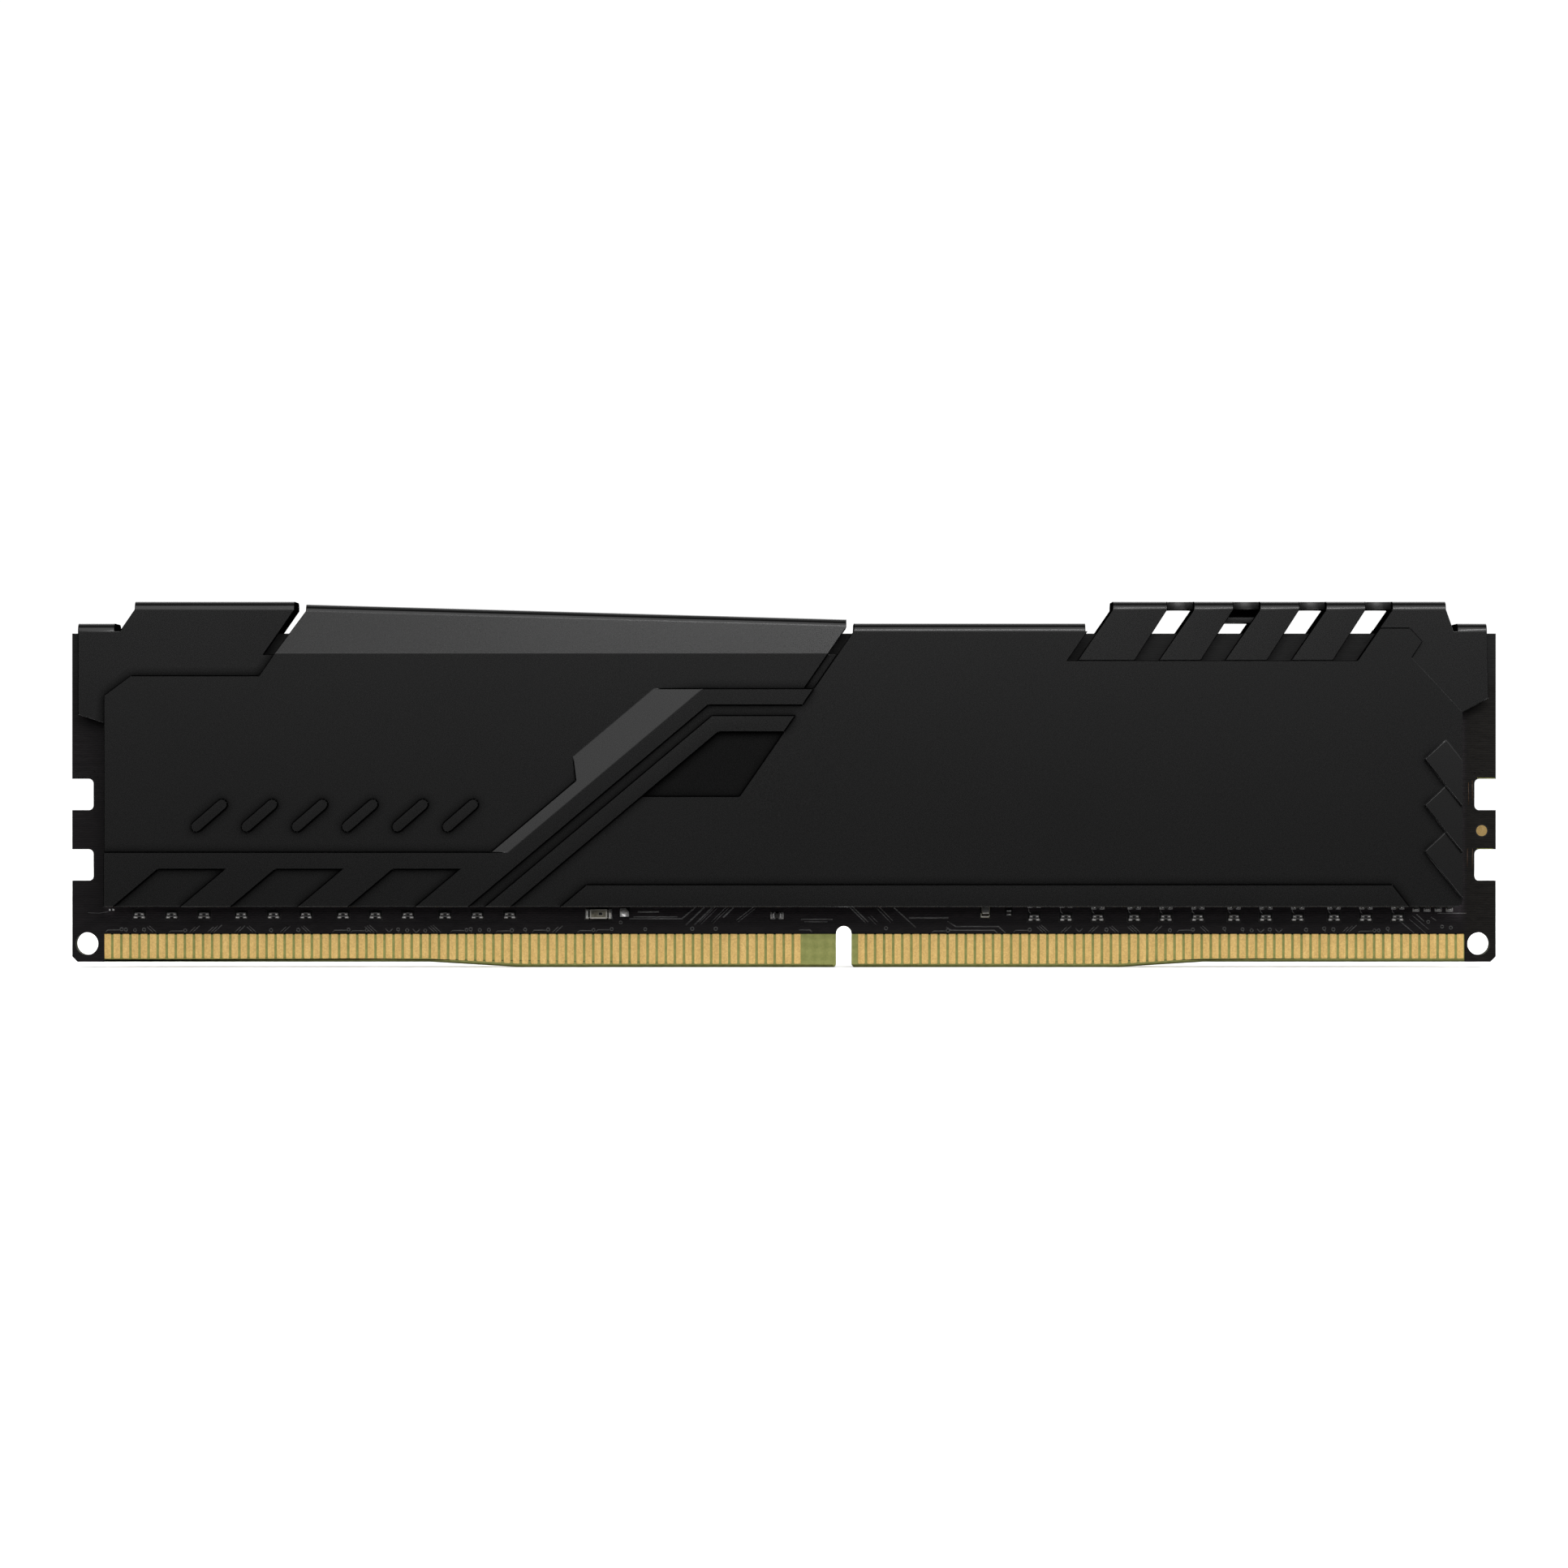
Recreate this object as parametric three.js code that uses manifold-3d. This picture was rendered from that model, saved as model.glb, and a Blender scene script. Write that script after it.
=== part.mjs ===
// Desktop memory module, 288 contacts, with a two-piece stamped aluminium heat spreader.
//
// Millimetres, +Z up, +X along the board, +Y from the front face to the rear face. The origin
// is under the middle of the board's lower edge, on the board's mid-plane. "Out" is a distance
// from that mid-plane, towards the front or the rear.
import * as THREE from 'three';
import { mergeVertices } from 'three/addons/utils/BufferGeometryUtils.js';
import Module from 'manifold-3d';

const wasm = await Module();
wasm.setup();

// ---- Driving dimensions ---------------------------------------------------------------------

const FRONT = -1;
const REAR = 1;

// Circuit board
const BOARD_LENGTH = 133.35;
const BOARD_HEIGHT = 31.25;
const BOARD_THICKNESS = 1.4;
const BOARD_FACE = BOARD_THICKNESS / 2;
const EDGE_STEP = 0.5;
const EDGE_RAMP_LEFT = [-33.2, -24.6];
const EDGE_RAMP_RIGHT = [31.3, 39.3];
const BOARD_CORNER = 0.5;
const LATCH_NOTCH = { depth: 2.0, height: 2.94, radius: 0.45, centres: [9.58, 16.18] };
const KEY_NOTCH = { centre: 5.6, width: 1.45, top: 3.85, lip: 0.3 };
const CORNER_HOLE = { columns: [-65.3, 65.08], z: 2.2, radius: 1.06, sides: 20 };

// Edge contacts
const CONTACT_PITCH = 0.85;
const CONTACT_WIDTH = 0.6;
const CONTACT_THICKNESS = 0.05;
const CONTACT_TOP = 3.08;
const CONTACT_SETBACK = 0.3;
const CONTACT_BUS = 0.2;
const CONTACTS_LEFT = { first: -63.35, count: 77 };
const CONTACTS_RIGHT = { first: 7.25, count: 67 };

// Memory chips and the small parts on the board
const CHIP = { width: 7.5, height: 11, top: 1.8, centre: 14.5 };
const CHIP_COLUMNS = [-57.3, -47.75, -38.2, -28.7, 26.5, 35.7, 45.1, 54.4];
const PAD = { left: -61.9, right: 59, height: 10.4 };
const SPD = { x: -3.2, z: 14, width: 3, height: 2, top: 1.45 };
const RESISTOR = { width: 1.1, height: 0.55, thickness: 0.35 };
const RESISTOR_COLUMNS_LEFT = { first: -60.37, groups: 4, groupPitch: 9.54, pitch: 3.03, z: 4.92 };
const RESISTOR_COLUMNS_RIGHT = { first: 23.42, groups: 4, groupPitch: 9.36, pitch: 2.98, z: 4.69 };
const RESISTORS_IN_GROUP = 3;
const CAPACITORS = [
  { name: 'bulk_capacitor', x: -17.36, z: 5.0, width: 2.35, height: 0.85, thickness: 0.8 },
  { name: 'supply_capacitor_1', x: -15.05, z: 5.2, width: 0.8, height: 1.0, thickness: 0.5 },
  { name: 'supply_capacitor_2', x: 18.82, z: 5.15, width: 1.0, height: 1.0, thickness: 0.5 },
  { name: 'supply_capacitor_3', x: 20.98, z: 5.2, width: 0.6, height: 0.55, thickness: 0.3 },
  { name: 'supply_capacitor_4', x: -0.65, z: 4.84, width: 1.1, height: 0.55, thickness: 0.35 },
];

// Heat spreader sheet and its levels, each the "out" of the outer face
const SHEET = 0.75;
const LOW = 2.6;
const MAIN = 3.2;
const RAISED = 3.6;
const BADGE_FLOOR = 2.9;
const GROOVE_FLOOR = 2.85;
const PLATE_OVERLAP = 0.8;
const RELIEF_ROOT = 0.2;
const HALF_GAP = 0.15;
const FOLD_STEPS = 6;
const FOLD_LAP = 0.05;

// Heat spreader outline
const SKIRT = 5.7;
const SIDE_LEFT = -63.4;
const SIDE_RIGHT = 63.25;
const EAR_LEFT = -65.9;
const EAR_RIGHT = 65.75;
const TAB_TOP = 32.15;
const FIN_TOP = 34.2;
const SLOPE_FOOT = 29.35;
const FIN_FOOT = 28.68;
const SLOT_FOOT = 29.26;
const LEFT_TAB = [EAR_LEFT, -62.47];
const MIDDLE_TAB = [6.5, 28.1];
const RIGHT_TAB = [62.86, 65.6];
const LAST_FIN_RIGHT = 61.78;
const LEAN = 0.69;
const DIAGONAL = 0.842;

// Windows between the fins on the right
const WINDOW_COUNT = 4;
const WINDOW_PITCH = 6.17;
const WINDOW = { leftFoot: 32.72, leftTop: 35.78, rightFoot: 34.96, rightTop: 38.26 };
const WINDOW_WEB = 0.85;
const CLIP = { left: 40.9, right: 44.9, bottom: 32.2, lip: 32.8, reach: 1.2, thickness: 0.7 };

// The long sloped fin
const SLOPED_FIN = { topAtCentre: 32.7, fall: 0.028, lean: 0.155, end: 5.82 };

// Relief on the main panel
const STRIP_TOP = 10.8;
const BAND_TOP = 26.04;
const BAR = { from: [-54.75, 13.18], to: [-52.36, 15.26], radius: 0.51, pitch: 4.68, count: 6 };
const CUTOUT_PITCH = 10.94;
const CUTOUT_COUNT = 3;
const SCALE_PITCH = 4.29;
const SCALE_COUNT = 3;
const SCALE_RUN = 2.7;

// Past every face of the part, so that a cut goes right through
const BEYOND = 10;

// ---- Outlines -------------------------------------------------------------------------------

// Foot, on the spreader's lower edge, of a line through a point
const leanFoot = (x, z) => x - (z - SKIRT) * LEAN;

// Point at height z on the leaning line, or on the diagonal, that starts at a foot
const onLean = (foot, z) => [foot + (z - SKIRT) * LEAN, z];
const onDiagonal = (foot, z) => [foot + (z - SKIRT) / DIAGONAL, z];

const shifted = (points, dx, dz) => points.map(([x, z]) => [x + dx, z + dz]);

const box = (left, bottom, right, top) => [[left, bottom], [right, bottom], [right, top], [left, top]];

// Outline through [x, z] points. A third value rounds that corner to the given radius.
function roundedShape(points, steps = 4) {
  const corners = points.map(([x, z]) => new THREE.Vector2(x, z));
  const path = points.flatMap(([, , radius], i) => {
    const corner = corners[i];
    if (!radius) return [corner];
    const before = corners.at(i - 1).clone().sub(corner).normalize();
    const after = corners[(i + 1) % corners.length].clone().sub(corner).normalize();
    const half = Math.acos(before.dot(after)) / 2;
    const inward = before.clone().add(after).normalize();
    const centre = corner.clone().addScaledVector(inward, radius / Math.sin(half));
    const start = before.clone().multiplyScalar(radius / Math.tan(half)).add(corner).sub(centre);
    const sweep = (Math.PI - 2 * half) * Math.sign(after.cross(before));
    const turn = (k) => start.clone().rotateAround(new THREE.Vector2(), (sweep * k) / steps);
    return Array.from({ length: steps + 1 }, (_, k) => turn(k).add(centre));
  });
  return new THREE.Shape(path);
}

function circleHole(x, z, radius, sides) {
  const turn = (k) => (2 * Math.PI * k) / sides;
  const point = (_, k) => new THREE.Vector2(x + radius * Math.cos(turn(k)), z + radius * Math.sin(turn(k)));
  return new THREE.Path(Array.from({ length: sides }, point));
}

// ---- Solids ---------------------------------------------------------------------------------

const UP_Y = new THREE.Vector3(0, 1, 0);
const UP_Z = new THREE.Vector3(0, 0, 1);

// Slab with an XZ outline between two distances out, on one side of the board
function slab(shape, outFrom, outTo, side) {
  const geometry = new THREE.ExtrudeGeometry(shape, { depth: outTo - outFrom, bevelEnabled: false });
  geometry.rotateX(Math.PI / 2);
  geometry.translate(0, side === FRONT ? -outFrom : outTo, 0);
  return geometry;
}

// Prism of a section given as [distance across, out], swept from `start` along across x Y
function sweep(section, start, across, length, side) {
  const shape = new THREE.Shape(section.map(([a, out]) => new THREE.Vector2(a, side * out)));
  const geometry = new THREE.ExtrudeGeometry(shape, { depth: length, bevelEnabled: false });
  const along = new THREE.Vector3().crossVectors(across, UP_Y);
  return geometry.applyMatrix4(new THREE.Matrix4().makeBasis(across, UP_Y, along).setPosition(start));
}

function toSolid(geometry) {
  const bare = geometry.clone();
  bare.deleteAttribute('normal');
  bare.deleteAttribute('uv');
  const merged = mergeVertices(bare);
  const vertProperties = merged.attributes.position.array;
  const triVerts = new Uint32Array(merged.index.array);
  return new wasm.Manifold(new wasm.Mesh({ numProp: 3, vertProperties, triVerts }));
}

function toGeometry(solid) {
  const { vertProperties, triVerts } = solid.getMesh();
  const geometry = new THREE.BufferGeometry();
  geometry.setAttribute('position', new THREE.BufferAttribute(vertProperties, 3));
  geometry.setIndex(new THREE.BufferAttribute(triVerts, 1));
  return geometry;
}

const plate = (points, outFrom, outTo, side) => toSolid(slab(roundedShape(points), outFrom, outTo, side));

// ---- Circuit board and contacts -------------------------------------------------------------

// Height of the board's lower edge: it stands lower in the middle, for gradual insertion
function edgeHeight(x) {
  const down = THREE.MathUtils.mapLinear(x, ...EDGE_RAMP_LEFT, EDGE_STEP, 0);
  const up = THREE.MathUtils.mapLinear(x, ...EDGE_RAMP_RIGHT, 0, EDGE_STEP);
  return THREE.MathUtils.clamp(Math.max(down, up), 0, EDGE_STEP);
}

function latchNotch(direction) {
  const { depth, height, radius, centres } = LATCH_NOTCH;
  const edge = (direction * BOARD_LENGTH) / 2;
  const inner = edge - direction * depth;
  const upward = centres.flatMap((centre) => [
    [edge, centre - height / 2],
    [inner, centre - height / 2, radius],
    [inner, centre + height / 2, radius],
    [edge, centre + height / 2],
  ]);
  return direction > 0 ? upward : upward.reverse();
}

function boardGeometry() {
  const half = BOARD_LENGTH / 2;
  const keyLeft = KEY_NOTCH.centre - KEY_NOTCH.width / 2;
  const keyRight = KEY_NOTCH.centre + KEY_NOTCH.width / 2;
  const roof = KEY_NOTCH.width / 2 - 0.001;
  const shape = roundedShape([
    [-half + BOARD_CORNER, EDGE_STEP],
    [EDGE_RAMP_LEFT[0], EDGE_STEP],
    [EDGE_RAMP_LEFT[1], 0],
    [keyLeft, 0, KEY_NOTCH.lip],
    [keyLeft, KEY_NOTCH.top, roof],
    [keyRight, KEY_NOTCH.top, roof],
    [keyRight, 0, KEY_NOTCH.lip],
    [EDGE_RAMP_RIGHT[0], 0],
    [EDGE_RAMP_RIGHT[1], EDGE_STEP],
    [half - BOARD_CORNER, EDGE_STEP],
    [half, EDGE_STEP + BOARD_CORNER],
    ...latchNotch(1),
    [half, BOARD_HEIGHT],
    [-half, BOARD_HEIGHT],
    ...latchNotch(-1),
    [-half, EDGE_STEP + BOARD_CORNER],
  ]);
  for (const x of CORNER_HOLE.columns) {
    shape.holes.push(circleHole(x, CORNER_HOLE.z, CORNER_HOLE.radius, CORNER_HOLE.sides));
  }
  return slab(shape, -BOARD_FACE, BOARD_FACE, FRONT);
}

// One row of gold contacts, tied together by the plating bus under the solder mask's edge
function contactGeometry({ first, count }, side) {
  const fingers = Array.from({ length: count }, (_, i) => first + i * CONTACT_PITCH);
  const tines = fingers.flatMap((x) => {
    const bottom = edgeHeight(x) + CONTACT_SETBACK;
    const left = x - CONTACT_WIDTH / 2;
    const right = x + CONTACT_WIDTH / 2;
    return [[left, CONTACT_TOP], [left, bottom], [right, bottom], [right, CONTACT_TOP]];
  });
  const busTop = CONTACT_TOP + CONTACT_BUS;
  const bus = [[tines.at(-1)[0], busTop], [tines[0][0], busTop]];
  return slab(roundedShape([...tines, ...bus]), BOARD_FACE, BOARD_FACE + CONTACT_THICKNESS, side);
}

// ---- Heat spreader --------------------------------------------------------------------------

const FIN_FOLD = FIN_TOP - SHEET;
const TAB_FOLD = TAB_TOP - SHEET;

// Leaning lines that several outlines share
const EAR_FIN_LEFT = leanFoot(-60.6, FIN_FOLD);
const EAR_FIN_RIGHT = leanFoot(-48.57, SLOT_FOOT);
const SLOPED_LEFT = leanFoot(-47.5, SLOPE_FOOT);
const SLOPED_RIGHT = leanFoot(4.14, SLOPE_FOOT);
const PANEL_LEFT = leanFoot(2.77, BAND_TOP);
const TAB_RIGHT = leanFoot(26.43, FIN_FOOT);
const FIRST_FIN_LEFT = leanFoot(27.39, FIN_FOOT);

// Low corner plate with the left ear, its tab and the first tall fin
const LOW_LEFT = [
  [EAR_LEFT, 23.64],
  [-63.52, 22.86],
  [SIDE_LEFT + PLATE_OVERLAP, 22.6],
  [SIDE_LEFT + PLATE_OVERLAP, 25.0],
  [-60.7, 27.25 - PLATE_OVERLAP],
  [-48.4, 27.25 - PLATE_OVERLAP],
  onLean(SLOPED_LEFT + PLATE_OVERLAP, 28.2),
  onLean(SLOPED_LEFT + PLATE_OVERLAP, SLOT_FOOT),
  onLean(EAR_FIN_RIGHT, SLOT_FOOT),
  onLean(EAR_FIN_RIGHT, FIN_FOLD),
  onLean(EAR_FIN_LEFT, FIN_FOLD),
  onLean(EAR_FIN_LEFT, TAB_FOLD),
  [EAR_LEFT, TAB_FOLD],
];

// Low plate with the slotted fins, the right corner and the right ear
const LOW_RIGHT = [
  onLean(FIRST_FIN_LEFT, FIN_FOOT - PLATE_OVERLAP),
  [54.3, FIN_FOOT - PLATE_OVERLAP],
  [56.1, 30.9],
  [57.9, 30.9],
  [58.4, 30.4],
  [57.5, 28.8],
  [62.5, 23.5],
  [SIDE_RIGHT, 23.8],
  [EAR_RIGHT, 25.16],
  [RIGHT_TAB[1], TAB_FOLD],
  [62.5, TAB_FOLD],
  [LAST_FIN_RIGHT, FIN_FOLD],
  onLean(FIRST_FIN_LEFT, FIN_FOLD),
];

// Main panel, from the skirt to the foot of the fins
const MAIN_PANEL = [
  [SIDE_LEFT, SKIRT],
  [SIDE_RIGHT, SKIRT, 0.6],
  [SIDE_RIGHT, 23.9],
  [58.54, 28.95],
  [59.53, 30.45],
  [58.37, 31.7],
  [55.55, 31.7],
  [53.41, FIN_FOOT],
  onLean(TAB_RIGHT, FIN_FOOT),
  onLean(TAB_RIGHT, TAB_FOLD),
  onLean(PANEL_LEFT, TAB_FOLD),
  onLean(PANEL_LEFT, SLOT_FOOT),
  onLean(SLOPED_RIGHT, SLOT_FOOT),
  onLean(SLOPED_RIGHT, SLOPE_FOOT),
  onLean(SLOPED_LEFT, SLOPE_FOOT),
  [-48.94, 27.25],
  [-60.93, 27.25],
  [SIDE_LEFT, 25.42],
];

// Raised strip along the skirt that turns into the upper diagonal band
const UPPER_BAND = [
  [SIDE_LEFT, SKIRT],
  [-29.42, SKIRT],
  onDiagonal(-29.42, 24.52),
  onLean(PANEL_LEFT, 24.52),
  onLean(PANEL_LEFT, BAND_TOP),
  onDiagonal(-36.34, BAND_TOP),
  onDiagonal(-36.34, 19.73),
  onDiagonal(-33.38, 17.48),
  onDiagonal(-33.38, STRIP_TOP),
  [SIDE_LEFT, STRIP_TOP],
];

const LOWER_BAND = [
  [-27.9, SKIRT],
  [-25.49, SKIRT],
  onDiagonal(-25.49, 22.02),
  onLean(PANEL_LEFT, 22.02),
  onLean(PANEL_LEFT, 23.53),
  onDiagonal(-27.9, 23.53),
];

const RIGHT_STRIP = [[-20.87, SKIRT], [58.28, SKIRT], [56.68, 7.77], onDiagonal(-20.87, 7.77)];

const BADGE = [
  onDiagonal(-25.49, 16.0),
  onLean(PANEL_LEFT, 16.0),
  onLean(PANEL_LEFT, 22.02),
  onDiagonal(-25.49, 22.02),
];

const GROOVE = [
  onLean(SLOPED_RIGHT, BAND_TOP),
  onLean(PANEL_LEFT, BAND_TOP),
  onLean(PANEL_LEFT, SLOT_FOOT + 0.1),
  onLean(SLOPED_RIGHT, SLOT_FOOT + 0.1),
];

const STRIP_CUTOUT = [
  onDiagonal(-62.5, SKIRT - 1),
  onDiagonal(-56.29, SKIRT - 1),
  onDiagonal(-56.29, 9.22),
  onDiagonal(-62.5, 9.22),
];

// Overlapping scale at the right end: its lower left edge stands proud, the far edge lies flush
const SCALE = [[59.7, 19.49], [SIDE_RIGHT, 15.05], [SIDE_RIGHT, 19.7], [61.72, 21.27]];

// Rounded bar between two end centres
function barPoints([x0, z0], [x1, z1], radius, steps) {
  const heading = Math.atan2(z1 - z0, x1 - x0);
  const cap = (x, z, from) =>
    Array.from({ length: steps + 1 }, (_, k) => {
      const angle = heading + from + (Math.PI * k) / steps;
      return [x + radius * Math.cos(angle), z + radius * Math.sin(angle)];
    });
  return [...cap(x1, z1, -Math.PI / 2), ...cap(x0, z0, Math.PI / 2)];
}

// Section, as [height, out], of the sheet where it folds over the board: a leg, a round fold
// and a flange that runs to `end`. The leg's outer face passes `out` at `foot` and leans inwards by `tilt`.
function foldSection({ top, foot, legBottom, out, tilt = 0, end = HALF_GAP }) {
  const reach = out * Math.cos(tilt) + foot * Math.sin(tilt);
  const faceOut = (z, depth) => (reach - depth - z * Math.sin(tilt)) / Math.cos(tilt);
  const foldZ = top - SHEET;
  const foldOut = faceOut(foldZ, SHEET);
  const round = Array.from({ length: FOLD_STEPS + 1 }, (_, k) => {
    const angle = THREE.MathUtils.lerp(tilt, Math.PI / 2, k / FOLD_STEPS);
    return [foldZ + SHEET * Math.sin(angle), foldOut + SHEET * Math.cos(angle)];
  });
  return [
    [legBottom, faceOut(legBottom, 0)],
    ...round,
    [top, end],
    [foldZ, end],
    [foldZ, foldOut],
    [legBottom, faceOut(legBottom, SHEET)],
  ];
}

// Folded top edge between two X positions
function topFold(left, right, top, out, side) {
  const section = foldSection({ top, foot: top, legBottom: top - SHEET - FOLD_LAP, out });
  return toSolid(sweep(section, new THREE.Vector3(right, 0, 0), UP_Z, right - left, side));
}

// The long fin leans back from the main panel, and its folded top falls towards the right
function slopedFin(side) {
  const { topAtCentre, fall, lean, end } = SLOPED_FIN;
  const section = foldSection({
    top: topAtCentre,
    foot: SLOPE_FOOT,
    legBottom: SLOPE_FOOT - BEYOND,
    out: MAIN,
    tilt: Math.atan(lean),
    end: -HALF_GAP,
  });
  const run = BOARD_LENGTH;
  const fin = sweep(section, new THREE.Vector3(run / 2, 0, 0), UP_Z, run, side);
  const shear = new THREE.Matrix4().set(1, 0, 0, 0, side * lean * fall, 1, 0, 0, -fall, 0, 1, 0, 0, 0, 0, 1);
  const face = [
    onLean(SLOPED_LEFT, SLOPE_FOOT - PLATE_OVERLAP / 2),
    onLean(SLOPED_RIGHT, SLOPE_FOOT - PLATE_OVERLAP / 2),
    onLean(SLOPED_RIGHT, 31.65),
    [end, 31.75],
    [end, FIN_TOP],
    [-44.62, FIN_TOP],
    [-44.62, 33.3],
  ];
  return toSolid(fin.applyMatrix4(shear)).intersect(plate(face, HALF_GAP, MAIN, side));
}

// Wedge over a slanted line: nothing at the line, `drop` deep at `width` across from it
function slopeCutter(foot, run, drop, side) {
  const across = new THREE.Vector3(-DIAGONAL, 0, 1).normalize();
  const section = [[0, RAISED], [0, RAISED + 1], [2 * run, RAISED + 1], [2 * run, RAISED - 2 * drop]];
  const [x, z] = onDiagonal(foot, BOARD_HEIGHT);
  return toSolid(sweep(section, new THREE.Vector3(x, 0, z), across, 2 * BOARD_HEIGHT, side));
}

// The upper band's outer face falls away to the main panel in one flat facet
function upperBand(side) {
  const band = plate(UPPER_BAND, MAIN - RELIEF_ROOT, RAISED, side);
  const above = plate(box(-BOARD_LENGTH / 2, STRIP_TOP, BOARD_LENGTH / 2, BOARD_HEIGHT), 0, BEYOND, side);
  const facet = slopeCutter(-31.75, 2.93, RAISED - MAIN, side).intersect(above);
  return band.subtract(facet);
}

function scale(index, side) {
  const points = shifted(SCALE, 0, -index * SCALE_PITCH);
  const [[left, top], [right, bottom]] = points;
  const edge = new THREE.Vector3(left - right, 0, top - bottom).normalize();
  const across = new THREE.Vector3().crossVectors(UP_Y, edge);
  const section = [[0, MAIN - RELIEF_ROOT], [0, RAISED], [SCALE_RUN, MAIN], [SCALE_RUN, MAIN - RELIEF_ROOT]];
  const start = new THREE.Vector3(right, 0, bottom).addScaledVector(edge, -BEYOND);
  const wedge = toSolid(sweep(section, start, across, 3 * BEYOND, side));
  return wedge.intersect(plate(points, 0, BEYOND, side));
}

// Through window between two fins, with a round-ended notch across the folded top
function windowCutter(index, side) {
  const { leftFoot, leftTop, rightFoot, rightTop } = WINDOW;
  const outline = [[leftFoot, FIN_FOOT], [rightFoot, FIN_FOOT], [rightTop, FIN_FOLD], [leftTop, FIN_FOLD]];
  const opening = plate(shifted(outline, index * WINDOW_PITCH, 0), 1, BEYOND, side);
  const radius = (rightTop - leftTop) / 2;
  const centre = (leftTop + rightTop) / 2 + index * WINDOW_PITCH;
  const depth = side * (WINDOW_WEB + radius);
  const round = barPoints([centre, depth], [centre, side * BEYOND], radius, 10);
  const notch = new THREE.ExtrudeGeometry(roundedShape(round), { depth: 2, bevelEnabled: false });
  return opening.add(toSolid(notch.translate(0, 0, FIN_FOLD - 0.01)));
}

// Tongue of the rear half that hooks forward under the front half's fold
function clipTongue() {
  const { left, right, bottom, lip, reach, thickness } = CLIP;
  const root = FIN_FOLD + SHEET / 2;
  const back = HALF_GAP + thickness;
  const section = [[bottom, -reach], [lip, -reach], [lip, HALF_GAP], [root, HALF_GAP], [root, back], [bottom, back]];
  return toSolid(sweep(section, new THREE.Vector3(right, 0, 0), UP_Z, right - left, REAR));
}

function heatSpreader(side) {
  let sheet = plate(MAIN_PANEL, MAIN - SHEET, MAIN, side)
    .add(plate(LOW_LEFT, LOW - SHEET, LOW, side))
    .add(plate(LOW_RIGHT, LOW - SHEET, LOW, side))
    .add(slopedFin(side))
    .add(topFold(...LEFT_TAB, TAB_TOP, LOW, side))
    .add(topFold(onLean(EAR_FIN_LEFT, FIN_FOLD)[0], onLean(EAR_FIN_RIGHT, FIN_FOLD)[0], FIN_TOP, LOW, side))
    .add(topFold(...MIDDLE_TAB, TAB_TOP, MAIN, side))
    .add(topFold(onLean(FIRST_FIN_LEFT, FIN_FOLD)[0], LAST_FIN_RIGHT, FIN_TOP, LOW, side))
    .add(topFold(...RIGHT_TAB, TAB_TOP, LOW, side));

  sheet = sheet
    .subtract(plate(BADGE, BADGE_FLOOR, BEYOND, side))
    .subtract(plate(GROOVE, GROOVE_FLOOR, BEYOND, side))
    .add(upperBand(side))
    .add(plate(LOWER_BAND, MAIN - RELIEF_ROOT, RAISED, side))
    .add(plate(RIGHT_STRIP, MAIN - RELIEF_ROOT, RAISED, side));
  for (let i = 0; i < CUTOUT_COUNT; i += 1) {
    sheet = sheet.subtract(plate(shifted(STRIP_CUTOUT, i * CUTOUT_PITCH, 0), MAIN, BEYOND, side));
  }
  const bar = barPoints(BAR.from, BAR.to, BAR.radius, 5);
  for (let i = 0; i < BAR.count; i += 1) {
    sheet = sheet.add(plate(shifted(bar, i * BAR.pitch, 0), MAIN - RELIEF_ROOT, RAISED, side));
  }
  for (let i = 0; i < SCALE_COUNT; i += 1) {
    sheet = sheet.add(scale(i, side));
  }
  for (let i = 0; i < WINDOW_COUNT; i += 1) {
    sheet = sheet.subtract(windowCutter(i, side));
  }
  return toGeometry(side === REAR ? sheet.add(clipTongue()) : sheet);
}

// ---- Assembly -------------------------------------------------------------------------------

const finish = (color, roughness, metalness) => ({ color, roughness, metalness });
const SOLDER_MASK = finish(0x1c1b1d, 0.5, 0);
const GOLD = finish(0xd7b26c, 0.3, 1);
const MOULDED_EPOXY = finish(0x222222, 0.7, 0);
const RESISTOR_GLAZE = finish(0x3a3a3a, 0.4, 0);
const CERAMIC = finish(0xb0a890, 0.5, 0);
const THERMAL_PAD = finish(0x8c8c90, 0.9, 0);
const ANODISED = finish(0x242424, 0.55, 0.6);

const ramModule = new THREE.Group();

function addPart(name, geometry, look) {
  const mesh = new THREE.Mesh(geometry, new THREE.MeshStandardMaterial(look));
  mesh.name = name;
  ramModule.add(mesh);
  return mesh;
}

// Plain block that stands on the board, centred on [x, z]
function addBlock(name, { x, z, width, height, top }, side, look) {
  const block = addPart(name, new THREE.BoxGeometry(width, top - BOARD_FACE, height), look);
  block.position.set(x, (side * (top + BOARD_FACE)) / 2, z);
}

addPart('pcb', boardGeometry(), SOLDER_MASK);
for (const [face, side] of [['front', FRONT], ['rear', REAR]]) {
  addPart(`contacts_${face}_left`, contactGeometry(CONTACTS_LEFT, side), GOLD);
  addPart(`contacts_${face}_right`, contactGeometry(CONTACTS_RIGHT, side), GOLD);
  CHIP_COLUMNS.forEach((x, i) => {
    addBlock(`dram_${face}_${i + 1}`, { ...CHIP, x, z: CHIP.centre }, side, MOULDED_EPOXY);
  });
  const padBottom = CHIP.centre - PAD.height / 2;
  const padOutline = box(PAD.left, padBottom, PAD.right, padBottom + PAD.height);
  addPart(`thermal_pad_${face}`, slab(roundedShape(padOutline), CHIP.top, MAIN - SHEET, side), THERMAL_PAD);
  addPart(`heat_spreader_${face}`, heatSpreader(side), ANODISED);
}
addBlock('spd_eeprom', SPD, FRONT, MOULDED_EPOXY);

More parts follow.
